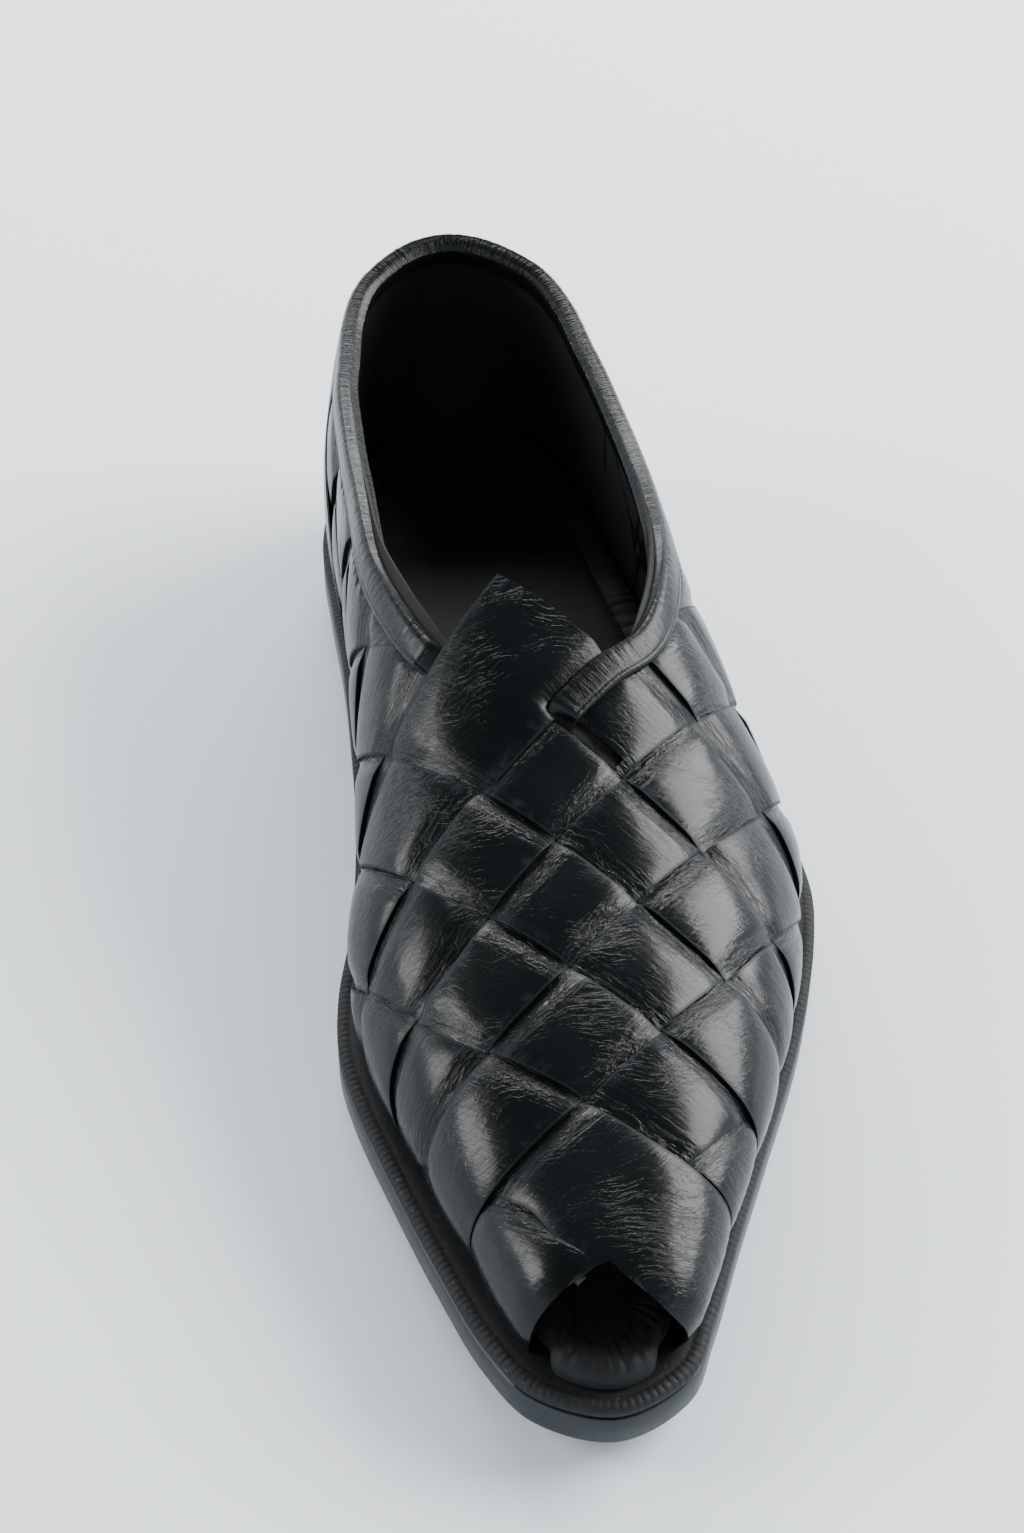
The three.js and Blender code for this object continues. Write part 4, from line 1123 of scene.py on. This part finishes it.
@dataclass
class WovenStrips:
    """The strips, each one a slab that rides over a neighbour and dives under the next."""

    weave: Weave
    rim: RimLine
    counter: HeelCounter
    thickness: float = 0.95
    side_gap: float = 0.25
    tuck: float = 5.0
    dive: float = 1.2
    dive_length: float = 5.0
    rim_width: float = 5.4
    pillow: float = 0.35
    edge_drop: float = 0.35
    pressed: float = 0.9
    foot_depth: float = 1.0
    tongue_dip: float = 1.5
    fold: float = 0.45
    columns: int = 15
    rows: int = 12

    def local_pitch(self, family: Family, across: float, along: float) -> float:
        """Length of one diamond along a band near a place, in millimetres."""
        alongs = np.array([along - 0.05, along + 0.05])
        both = (alongs, np.full(2, across))
        b, a = both if family is Family.TO_LATERAL else both[::-1]
        place = self.weave.find(b, a)
        ends = self.weave.last.surface(place["side"], place["around"], place["level"])
        return float(np.clip(np.linalg.norm(ends[1] - ends[0]) / 0.1, 12, 40))

    def slab(self, family: Family, index: int, first: int, last: int) -> Sheet:
        """One stretch of a band between two tucks.

        Args:
            family: the band's direction.
            index: its number.
            first: first band that it crosses on top.
            last: last band that it crosses on top.

        Returns:
            The stretch, empty where it lies off the shoe.
        """
        sizes, form = self.weave.sizes, self.weave.last
        is_a = family is Family.TO_LATERAL
        other = Family.TO_MEDIAL if is_a else Family.TO_LATERAL
        tongue = not is_a and index == -1 and first == -1
        low, high = self.weave.limits(family, index)
        start = -sizes.tongue_length if tongue else self.weave.limits(other, first)[0]
        end = self.weave.limits(other, last)[1]
        middle = (low + high) / 2
        pitch_start = self.local_pitch(family, middle, start)
        pitch_end = self.local_pitch(family, middle, end)
        sheet = Sheet(max(8, round(self.columns * (end - start + 0.5))), self.rows)
        head = 0.0 if tongue else self.tuck / pitch_start
        along = start - head + sheet.u * (end - start + head + self.tuck / pitch_end)
        flat = sheet.v if not is_a else 1 - sheet.v
        share = 0.35 * flat + 0.65 * (0.5 - 0.5 * np.cos(math.pi * flat))
        gap = self.side_gap / 20.0
        top = np.full(len(along), high + 0.12 if tongue else high - gap)
        if index == sizes.opening - 1:
            widen = 0.22 * smooth_step(along, 3.3, 4.0) * is_a
            top += np.clip(widen + np.maximum(along - sizes.opening, 0) * 0.94, 0, 0.72)
        across = low + gap + share * (top - low - gap)
        b, a = (along, across) if is_a else (across, along)
        place = self.weave.find(b, a)
        side, around, level, past = (place[key] for key in ("side", "around", "level", "past"))
        opening = np.where(side < 0, form.opening[-1](level), form.opening[1](level))
        inside = around < opening - 1e-6
        around = np.maximum(around, opening)
        from_opening = np.where(opening > 0.002, (around - opening) * 340, 99.0)
        skin = form.surface(side, around, level)
        reach, stop = self.rim.distance(skin)
        signed = ((skin - self.rim.point[stop]) * self.rim.down[stop]).sum(1)
        from_start, from_end = (along - start) * pitch_start, (end - along) * pitch_end
        if tongue:
            from_start = np.full(len(along), 99.0)
        near_end = np.minimum(from_start, from_end)
        low_part = 1 - smooth_step(near_end, -0.5, self.dive_length)
        tucked = 1 - smooth_step(near_end, -3.0, -0.5)
        across_shape = np.abs(2 * share - 1)
        height = -self.dive * low_part - 0.15 * tucked
        height += self.pillow * smooth_step(near_end, 2, 10) * (1 - across_shape**2)
        height -= self.edge_drop * across_shape**6
        height -= self.fold * (1 - smooth_step(from_opening, 0, 1.6))
        in_front = (a > 0) & (b > -sizes.tongue_width)
        if tongue:
            height -= self.tongue_dip * smooth_step(b, -0.22, -0.01) * (1 - smooth_step(a, -0.12, 0.04))
        else:
            press = (1 - smooth_step(reach, self.rim_width, self.rim_width + 1.0)) * ~in_front
            height = height * (1 - press) + np.minimum(height, -self.pressed) * press
            behind = (around - self.counter.front(level)) * 340
            hidden = smooth_step(behind, -3.4, -0.4)
            height = height * (1 - hidden) + np.minimum(height, -1.05) * hidden
            behind_far = behind > 7
            past_throat = (reach > 14) & (stop > self.rim.stops - 40) & (b > 0)
            above = (signed < 3.2) & ~past_throat & ~in_front
            above |= (b > -sizes.tongue_width) & (b < 0) & (a < -0.1) & (a > -1.6)
            inside = inside | above | behind_far
        inside = inside | (past > self.foot_depth)
        points = form.offset(side, around, level, height)
        below = unit(form.surface(side, around, np.zeros(len(level)))
                     - form.surface(side, around, np.full(len(level), form.STEP)))
        points += below * np.minimum(past, self.foot_depth)[:, None]
        length, width = (end - start) * pitch_start, 20.0
        chart = np.column_stack([
            sheet.u * length + 90 * (index + 7), share * width + 40 * (first + 7) + (0 if is_a else 700)
        ]) * MM
        bend = np.clip(1 - smooth_step(np.abs(near_end), 0.5, 6.5), 0, 1)
        bend = 0.10 + 0.9 * bend
        # Edge marks near the strip sides and at the toe opening draw the lighter rub colour: partly wear,
        # partly a painted highlight.
        edge = across_shape
        edge = np.where(near_end < -0.5, 1.0, edge)
        edge = np.where(from_opening < 0.6, 0.8, edge)
        sheet.carry(points, chart, bend=bend, edge=edge)
        sheet.drop(inside)
        return sheet

    def build(self) -> Sheet:
        """Lays every stretch of every band.

        Returns:
            All the slabs in one.
        """
        whole = None
        for family in Family:
            for index in range(self.weave.sizes.first, self.weave.sizes.opening):
                for first, last in self.weave.runs(family, index):
                    slab = self.slab(family, index, first, last)
                    if not slab.bm.faces:
                        continue
                    slab.thicken(self.thickness)
                    if whole is None:
                        whole = slab
                    else:
                        whole.absorb(slab)
        return whole

    def dress(self, sheet: Sheet, leather: bpy.types.Material) -> bpy.types.Object:
        """Turns the strips into the named piece."""
        return sheet.finish("woven_strips", leather, "woven_leather", "upper")


@dataclass
class Lining:
    """Thin leather inside the strips, from the toe opening's edge to the back."""

    last: Last
    outer: float = -2.3
    wall: float = 0.6
    behind_edge: float = 4.0
    columns: int = 170
    rows: int = 81

    def build(self) -> Sheet:
        """Spreads the lining over the whole last and opens it at the collar.

        Returns:
            The lining.
        """
        sheet = Sheet(self.columns, self.rows)
        t = 2 * sheet.v - 1
        side = np.where(t < 0, -1, 1)
        cap = self.last.collar_level(side, sheet.u)
        level = (1 - np.abs(t)) * cap
        opening = np.where(side < 0, self.last.opening[-1](level), self.last.opening[1](level))
        start = opening + self.behind_edge / 340
        around = start + (1 - start) * sheet.u
        points = self.last.offset(side, around, level, np.full(len(level), self.outer))
        sheet.carry(points)
        sheet.bm.verts.index_update()
        middle = np.abs(t) < 1.01 / self.rows
        wide = [f for f in sheet.bm.faces if all(middle[v.index] for v in f.verts)
                and any(cap[v.index] < 0.999 for v in f.verts)]
        bmesh.ops.delete(sheet.bm, geom=wide, context="FACES")
        sheet.weld()
        sheet.bm.normal_update()
        sheet.thicken(self.wall)
        return sheet

    def dress(self, sheet: Sheet, leather: bpy.types.Material) -> bpy.types.Object:
        """Turns the lining into the named piece."""
        return sheet.finish("lining", leather, "lining_leather", "upper")


@dataclass
class CollarBinding:
    """Folded strip of smooth leather over the collar's edge."""

    rim: RimLine
    width: float = 5.8
    inside: float = 6.0
    leather: float = 0.5
    stand: float = 0.38
    deep: float = -4.1
    deep_on_tongue: float = -1.6
    bulge: float = 1.7
    turn_at: float = 1.3
    columns: int = 900
    turn_rows: int = 10

    def profile(self, deep: Array, v: Array) -> tuple[Array, Array]:
        """The folded outline across the strip, from its outer edge over the top to its inner edge.

        Args:
            deep: height of the inner leg for each point.
            v: place on the outline from 0 to 1 for each point.

        Returns:
            Reach down from the line, and height over the leather.
        """
        outer = np.array([(0.0, -0.7), (0.0, -0.12), (0.15, 0.06), (0.45, 0.14), (0.7, 0.12), (0.95, 0.02),
                          (1.2, 0.14), (1.6, 0.22), (2.4, 0.28), (3.4, 0.34), (4.4, 0.38), (5.2, self.stand)])
        outer[:, 0] = self.width - outer[:, 0] / outer[-1, 0] * (self.width - self.turn_at)
        rows = len(outer) + self.turn_rows + 5
        row = np.rint(v * (rows - 1)).astype(int)
        turn = np.clip((row - len(outer) + 1) / (self.turn_rows + 1), 0, 1) * math.pi
        middle, half = (self.stand + deep) / 2, (self.stand - deep) / 2
        arc_reach = self.turn_at - self.bulge * np.sin(turn)
        arc_height = middle + half * np.cos(turn)
        last_part = np.clip((row - len(outer) - self.turn_rows) / 4, 0, 1)
        inner_end = np.where(deep > -3, 3.0, self.inside)
        reach = np.where(row < len(outer), outer[np.minimum(row, len(outer) - 1), 0],
                         arc_reach + last_part * (inner_end - self.turn_at))
        height = np.where(row < len(outer), outer[np.minimum(row, len(outer) - 1), 1], arc_height)
        return reach, height

    def build(self) -> Sheet:
        """Folds the strip along the whole collar line.

        Returns:
            The binding.
        """
        rows = 12 + self.turn_rows + 4
        sheet = Sheet(self.columns, rows)
        stop = sheet.u * (self.rim.stops - 1)
        index = np.arange(self.rim.stops)
        on_tongue = np.interp(stop, index, self.rim.on_tongue)
        run = np.interp(stop, index, self.rim.run)
        deep = self.deep + (self.deep_on_tongue - self.deep) * on_tongue
        reach, height = self.profile(deep, sheet.v)
        ripple = np.sin(run * 2.1 + 1.7 * np.sin(run * 0.37)) * np.sin(run * 0.61 + 0.8)
        height = height + 0.05 * ripple * smooth_step(self.width - 1.5 - reach, 0, 3)
        height -= 2.1 * (1 - smooth_step(run, 5.5, 9.5))
        height -= 2.1 * smooth_step(run, self.rim.length - 9.0, self.rim.length - 5.5)
        points = self.rim.over(stop, reach, height)
        chart = np.column_stack([run, sheet.v * 22]) * MM
        edge = np.where(sheet.v < 1.5 / rows, 0.97, 0.2)
        sheet.carry(points, chart, bend=np.full(len(run), 0.30), edge=edge)
        sheet.bm.normal_update()
        sheet.thicken(self.leather)
        sheet.heal(2.4)
        return sheet

    def dress(self, sheet: Sheet, leather: bpy.types.Material) -> bpy.types.Object:
        """Turns the binding into the named piece."""
        return sheet.finish("collar_binding", leather, "smooth_leather", "topline_binding")


@dataclass
class BindingStitches:
    """The row of stitches along the binding's outer edge."""

    rim: RimLine
    reach: float = 4.85
    height: float = 0.12
    spacing: float = 3.1
    length: float = 2.3
    thickness: float = 0.5

    def build(self) -> Sheet:
        """Sets one capsule for each stitch.

        Returns:
            The stitches in one.
        """
        count = int((self.rim.length - 17.5) / self.spacing)
        runs = 10 + self.spacing * (np.arange(count) + 0.5)
        ends = []
        for shift in (-0.5, 0.5):
            stop = np.interp(runs + shift * self.length, self.rim.run, np.arange(self.rim.stops))
            ends.append(self.rim.over(stop, np.full(count, self.reach), np.full(count, self.height)))
        sheet = Sheet(1, 1)
        bmesh.ops.delete(sheet.bm, geom=sheet.bm.verts, context="VERTS")
        for start, end in zip(*ends):
            way = Vector(end - start)
            turn = way.to_track_quat("Z", "Y").to_matrix().to_4x4()
            size = Matrix.Diagonal((self.thickness / 2, self.thickness / 2, way.length / 2, 1))
            place = Matrix.Translation(Vector((start + end) / 2)) @ turn @ size
            bmesh.ops.create_uvsphere(sheet.bm, u_segments=8, v_segments=6, radius=1, matrix=place)
        return sheet

    def dress(self, sheet: Sheet, thread: bpy.types.Material) -> bpy.types.Object:
        """Turns the stitches into the named piece."""
        return sheet.finish("binding_stitches", thread, "smooth_leather", closed=True)


@dataclass(frozen=True)
class Ring:
    """One ring of a piece of the bottom.

    It lies inset inside the outline, then toward the middle line by a length or by a share of the way.
    """

    inset: float
    height: float
    toward: float = 0.0
    inward: float = 0.0


@dataclass
class BottomPiece:
    """A closed piece that follows the sole's outline, built from rings."""

    last: Last
    stations: int = 720
    toe_centre: float = 24.0
    back_centre: float = 26.0
    toward_limit: float = 0.86

    def middle_line(self, y: Array) -> Array:
        """The nearest points of the sole's middle line, which stops short of the toe and the back."""
        share = np.linspace(0, 1, 161)
        line = (self.last.outline(1, share) + self.last.outline(-1, share)) / 2
        half = self.last.sizes.length / 2
        at = np.clip(y, self.toe_centre - half, half - self.back_centre)
        return np.column_stack([np.interp(at, line[:, 1], line[:, 0]), at])

    def loft(self, rings: list[Ring], base: Callable[[Array], Array],
             shape: Callable[[Array, Array, Array], tuple[Array, Array]] | None = None,
             closed: bool = False) -> Sheet:
        """Joins rings that follow the outline.

        Args:
            rings: the rings in order.
            base: height of the zero level at a place along the shoe.
            shape: extra inset and height for each side, around and ring number.
            closed: whether the last ring joins the first.

        Returns:
            The loft.
        """
        turns = len(rings) if closed else len(rings) - 1
        sheet = Sheet(self.stations, turns)
        t = sheet.u % 1.0
        t = np.where(sheet.u > 1 - 1e-6, 0.0, t)
        side = np.where(t < 0.5, 1, -1)
        around = np.where(t < 0.5, 2 * t, 2 - 2 * t)
        row = np.rint(sheet.v * turns).astype(int) % len(rings)
        inset = np.array([r.inset for r in rings])[row]
        height = np.array([r.height for r in rings])[row]
        toward = np.array([r.toward for r in rings])[row]
        inward = np.array([r.inward for r in rings])[row]
        if shape is not None:
            more_inset, more_height = shape(side, around, row)
            inset, height = inset + more_inset, height + more_height
        plan = self.last.inset(side, around, inset)
        middle = self.middle_line(plan[:, 1])
        way = np.linalg.norm(middle - plan, axis=1)
        share = np.maximum(inward, np.minimum(toward / np.maximum(way, 1e-6), self.toward_limit))
        plan = plan + (middle - plan) * share[:, None]
        points = np.column_stack([plan, base(plan[:, 1]) + height])
        sheet.carry(points)
        sheet.weld(0.02)
        return sheet


@dataclass
class SolePlate(BottomPiece):
    """The outsole: a plate with a softly rounded edge."""

    thickness: float = 7.5
    edge_round: float = 1.0

    def build(self) -> Sheet:
        """Lofts the plate from the middle of its underside to the middle of its top.

        Returns:
            The plate.
        """
        r, top = self.edge_round, self.thickness
        rings = [Ring(r, 0, inward=1), Ring(r, 0, inward=0.5), Ring(r, 0, 2), Ring(r, 0),
                 Ring(0.3 * r, 0.3 * r), Ring(0, r), Ring(0, top / 2), Ring(0, top - 0.7 * r),
                 Ring(0.25 * r, top - 0.25 * r), Ring(0.9 * r, top), Ring(r, top, 2),
                 Ring(r, top, inward=0.5), Ring(r, top, inward=1)]
        return self.loft(rings, self.last.sizes.lift)

    def dress(self, sheet: Sheet, rubber: bpy.types.Material) -> bpy.types.Object:
        """Turns the plate into the named piece."""
        return sheet.finish("sole_plate", rubber, "sole_rubber", "outsole", closed=True)


@dataclass
class HeelBlock(BottomPiece):
    """The heel: a block under the seat, cut straight at its front."""

    inset: float = 1.2
    taper: float = 1.5
    rise: float = 9.0

    def build(self) -> Sheet:
        """Lofts the block all round and cuts away what lies in front of the heel's breast.

        Returns:
            The block.
        """
        low, high, top = self.inset + self.taper, self.inset, self.rise
        rings = [Ring(low + 0.6, 0, inward=1), Ring(low + 0.6, 0, 3), Ring(low + 0.6, 0), Ring(low, 0.5),
                 Ring((low + high) / 2, top / 2), Ring(high, top), Ring(high, top, 3),
                 Ring(high, top, inward=1)]
        sheet = self.loft(rings, np.zeros_like)
        breast = float(self.last.sizes.along(self.last.sizes.heel_breast_at))
        everything = [*sheet.bm.verts, *sheet.bm.edges, *sheet.bm.faces]
        cut = bmesh.ops.bisect_plane(sheet.bm, geom=everything, plane_co=(0, breast, 0),
                                     plane_no=(0, -1, 0), clear_outer=True)
        rim = [e for e in cut["geom_cut"] if isinstance(e, bmesh.types.BMEdge)]
        bmesh.ops.holes_fill(sheet.bm, edges=rim, sides=0)
        return sheet

    def dress(self, sheet: Sheet, rubber: bpy.types.Material) -> bpy.types.Object:
        """Turns the block into the named piece."""
        return sheet.finish("heel_block", rubber, "sole_rubber", "heel", closed=True)


@dataclass
class WeltStrip(BottomPiece):
    """The welt: a matt strip round the shoe with ribs pressed into its outer edge."""

    stations: int = 1920
    thickness: float = 3.2
    width: float = 15.0
    rib_depth: float = 0.15
    ribs: int = 440

    def build(self) -> Sheet:
        """Runs the strip's section round the outline and presses the ribs.

        Returns:
            The strip.
        """
        top = self.thickness
        rings = [Ring(1.0, 0, self.width), Ring(1.0, 0), Ring(0.3, 0.3), Ring(0, 0.9), Ring(0, 1.9),
                 Ring(0.25, 2.6), Ring(0.8, 3.0), Ring(1.6, top + 0.02), Ring(2.2, top),
                 Ring(2.6, top - 0.16), Ring(3.0, top - 0.04), Ring(4.0, top), Ring(1.0, top, self.width)]
        half = self.stations / self.ribs

        def press(side: Array, around: Array, row: Array) -> tuple[Array, Array]:
            """Ribs across the outer edge."""
            turn = np.where(side > 0, around / 2, 1 - around / 2) * self.stations
            wave = np.abs(((turn / half) % 1.0) * 2 - 1)
            notch = smooth_step(wave, 0.45, 0.95) * self.rib_depth
            outer = (row >= 3) & (row <= 8)
            upper = (row >= 5) & (row <= 8)
            return notch * outer * 0.6, -notch * upper

        base = lambda y: self.last.sizes.lift(y) + self.last.sizes.outsole + self.last.sizes.fit  # noqa: E731
        return self.loft(rings, base, press, closed=True)

    def dress(self, sheet: Sheet, rubber: bpy.types.Material) -> bpy.types.Object:
        """Turns the strip into the named piece."""
        return sheet.finish("welt_strip", rubber, "welt_rubber", "welt", closed=True)


@dataclass
class InsolePad(BottomPiece):
    """Padded insole: a gathered, stuffed rim round a pressed line and a flat bed."""

    stations: int = 1400
    lining_face: float = -2.9
    toe_reach: float = 0.50
    rim_rise: float = 4.9
    bed_rise: float = 4.3
    gathers: int = 175
    gather_depth: float = 0.32

    def edge(self, side: Array, around: Array) -> Array:
        """Inset of the insole's edge: free in the toe opening, inside the lining elsewhere.

        Args:
            side: -1 or 1 for each point.
            around: share of the half outline.

        Returns:
            The insets.
        """
        medial, lateral = (self.last.section[f"{name}_reveal"](around) for name in ("medial", "lateral"))
        reveal = np.where(side < 0, medial, lateral) * self.last.sizes.reveal
        inside = reveal - self.lining_face + 0.36
        mouth = np.where(side < 0, self.last.opening[-1](0.0), self.last.opening[1](0.0))
        aside = smooth_step(around / mouth, 0.2, 1.1)
        shown = self.toe_reach * self.last.sizes.reveal * (1 - aside) + reveal * aside
        hidden = smooth_step(around - mouth, -0.03, -0.006)
        return shown + (inside - shown) * hidden

    def build(self) -> Sheet:
        """Lofts the pad and gathers its rim.

        Returns:
            The pad.
        """
        high, bed = self.rim_rise, self.bed_rise
        rings = [Ring(0, 0.1, inward=1), Ring(0, 0.1, 4), Ring(0, 0.1), Ring(-0.1, 1.3), Ring(0, 2.5, 0.1),
                 Ring(0, high - 1.3, 0.7), Ring(0, high - 0.5, 1.5), Ring(0, high, 2.8), Ring(0, high, 4.2),
                 Ring(0, high - 0.35, 5.5), Ring(0, bed, 6.6), Ring(0, bed - 0.45, 7.4),
                 Ring(0, bed - 0.1, 8.2), Ring(0, bed + 0.15, 10), Ring(0, bed + 0.1, 12),
                 Ring(0, bed, inward=0.88), Ring(0, bed, inward=1)]
        depth = np.array([0, 0, 0, 0, 0.1, 0.35, 0.7, 0.9, 1, 1, 0.9, 0.5, 0.35, 0.1, 0, 0, 0])

        def gather(side: Array, around: Array, row: Array) -> tuple[Array, Array]:
            """Radial puckers over the rim, uneven in pitch and depth."""
            turn = np.where(side > 0, around / 2, 1 - around / 2) * 2 * math.pi
            phase = turn * self.gathers + 1.6 * np.sin(turn * 23) + 0.9 * np.sin(turn * 57 + 1)
            strength = 0.65 + 0.35 * np.sin(turn * 31 + 2 * np.sin(turn * 11))
            wave = np.abs(np.sin(phase / 2)) * 2 - 1.3
            return self.edge(side, around), wave * strength * self.gather_depth * depth[row]

        base = lambda y: self.last.sizes.welt_top(y) + self.last.sizes.fit  # noqa: E731
        return self.loft(rings, base, gather)

    def dress(self, sheet: Sheet, leather: bpy.types.Material) -> bpy.types.Object:
        """Turns the pad into the named piece."""
        piece = sheet.finish("insole_pad", leather, "lining_leather", "insole", closed=True)
        return piece


@dataclass
class Studio:
    """A pale floor and soft lamps: wide boxes behind and beside the shoe."""

    floor_size: float = 6.0
    sky: tuple[tuple[float, float], ...] = ((0.0, 1.0), (0.35, 0.9), (0.69, 0.22), (0.86, 0.06), (1.0, 0.05))
    sky_strength: float = 2.0

    def floor(self) -> None:
        """Lays the floor."""
        bm = bmesh.new()
        bmesh.ops.create_grid(bm, x_segments=1, y_segments=1, size=self.floor_size)
        mesh = bpy.data.meshes.new("floor")
        bm.to_mesh(mesh)
        bm.free()
        bench = Bench("floor_paper")
        bench.set(Base_Color=(0.80, 0.85, 0.89, 1), Roughness=0.75, Specular_IOR_Level=0.2)
        mesh.materials.append(bench.material)
        piece = bpy.data.objects.new("floor", mesh)
        bpy.context.scene.collection.objects.link(piece)

    def lamp(self, name: str, place: tuple[float, float, float], size: tuple[float, float],
             power: float, target: tuple[float, float, float] = (0, 0, 0.04)) -> None:
        """Hangs one soft box.

        Args:
            name: its name.
            place: where it hangs, in metres.
            size: its width and height.
            power: its power in watts.
            target: what it faces.
        """
        light = bpy.data.lights.new(name, "AREA")
        light.shape = "RECTANGLE"
        light.size, light.size_y = size
        light.energy = power
        lamp = bpy.data.objects.new(name, light)
        lamp.location = place
        lamp.rotation_euler = (Vector(place) - Vector(target)).to_track_quat("Z", "Y").to_euler()
        bpy.context.scene.collection.objects.link(lamp)

    def build(self) -> None:
        """Sets floor, lamps and world."""
        self.floor()
        self.lamp("right_box", (1.4, 0.35, 1.0), (1.4, 0.9), 66)
        self.lamp("back_box", (0.1, 1.7, 1.15), (1.6, 0.6), 46)
        self.lamp("left_box", (-1.4, 0.3, 0.85), (0.7, 0.6), 15)
        world = bpy.data.worlds.new("studio")
        world.use_nodes = True
        bpy.context.scene.world = world
        tree = world.node_tree
        coordinates = tree.nodes.new("ShaderNodeTexCoord")
        split = tree.nodes.new("ShaderNodeSeparateXYZ")
        ramp = tree.nodes.new("ShaderNodeValToRGB")
        stops = ramp.color_ramp.elements
        for number, (place, light) in enumerate(self.sky):
            stop = stops[0] if number == 0 else stops.new(place) if number < len(self.sky) - 1 else stops[-1]
            stop.position = place
            stop.color = (0.93 * light, light, 1.06 * light, 1)
        tree.links.new(coordinates.outputs["Generated"], split.inputs[0])
        tree.links.new(split.outputs["Z"], ramp.inputs["Fac"])
        background = tree.nodes["Background"]
        tree.links.new(ramp.outputs["Color"], background.inputs["Color"])
        background.inputs["Strength"].default_value = self.sky_strength


@dataclass
class Viewpoint:
    """The camera, above and in front of the toe."""

    place: tuple[float, float, float] = (-0.0670, -0.3955, 0.3871)
    aim: tuple[float, float, float] = (-0.0075, 0.010, 0.022)
    lens: float = 58.0
    sensor: float = 36.0

    def build(self) -> None:
        """Sets the camera up."""
        data = bpy.data.cameras.new("camera")
        data.lens = self.lens
        data.sensor_width = self.sensor
        data.sensor_fit = "AUTO"
        data.clip_start = 0.01
        camera = bpy.data.objects.new("camera", data)
        camera.location = self.place
        way = Vector(self.aim) - Vector(self.place)
        camera.rotation_euler = way.to_track_quat("-Z", "Y").to_euler()
        bpy.context.scene.collection.objects.link(camera)
        bpy.context.scene.camera = camera


def main() -> None:
    """Builds the shoe around its frame, dresses it and sets the studio."""
    logging.basicConfig(level=logging.INFO, format="%(name)s: %(message)s")
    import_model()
    last = Last(LastSizes())
    weave = Weave(last, WeaveSizes())
    rim = RimLine(weave)
    counter = HeelCounter(last, rim)
    polished = PolishedLeather("polished_leather").make()
    smooth = PolishedLeather("smooth_leather", roughness=0.27, crease_depth=0.00008).make()
    lining = SoftLining("lining_leather").make()
    sole = Rubber("sole_rubber", (0.008, 0.011, 0.0135), (0.016, 0.021, 0.025), 0.40, 700.0, 0.00005,
                  0.00006, 0.05).make()
    welt = Rubber("welt_rubber", (0.0012, 0.0015, 0.0018), (0.0040, 0.0046, 0.0050), 0.66, 1300.0, 0.00016,
                  0.00002, 0.25).make()
    thread = WaxedThread("waxed_thread").make()
    plan = [(SolePlate(last), sole), (HeelBlock(last), sole), (WeltStrip(last), welt),
            (InsolePad(last), lining), (Lining(last), lining), (WovenStrips(weave, rim, counter), polished),
            (counter, smooth), (CollarBinding(rim), smooth), (BindingStitches(rim), thread)]
    outline = np.vstack([last.half[-1], last.half[1]])
    low = np.array(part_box("outsole")[0])[:2] / MM - outline.min(0)
    for part, finish in plan:
        sheet = part.build()
        bmesh.ops.translate(sheet.bm, verts=sheet.bm.verts, vec=(low[0], low[1], 0))
        part.dress(sheet, finish)
    Studio().build()
    Viewpoint().build()


if __name__ == "__main__":
    main()
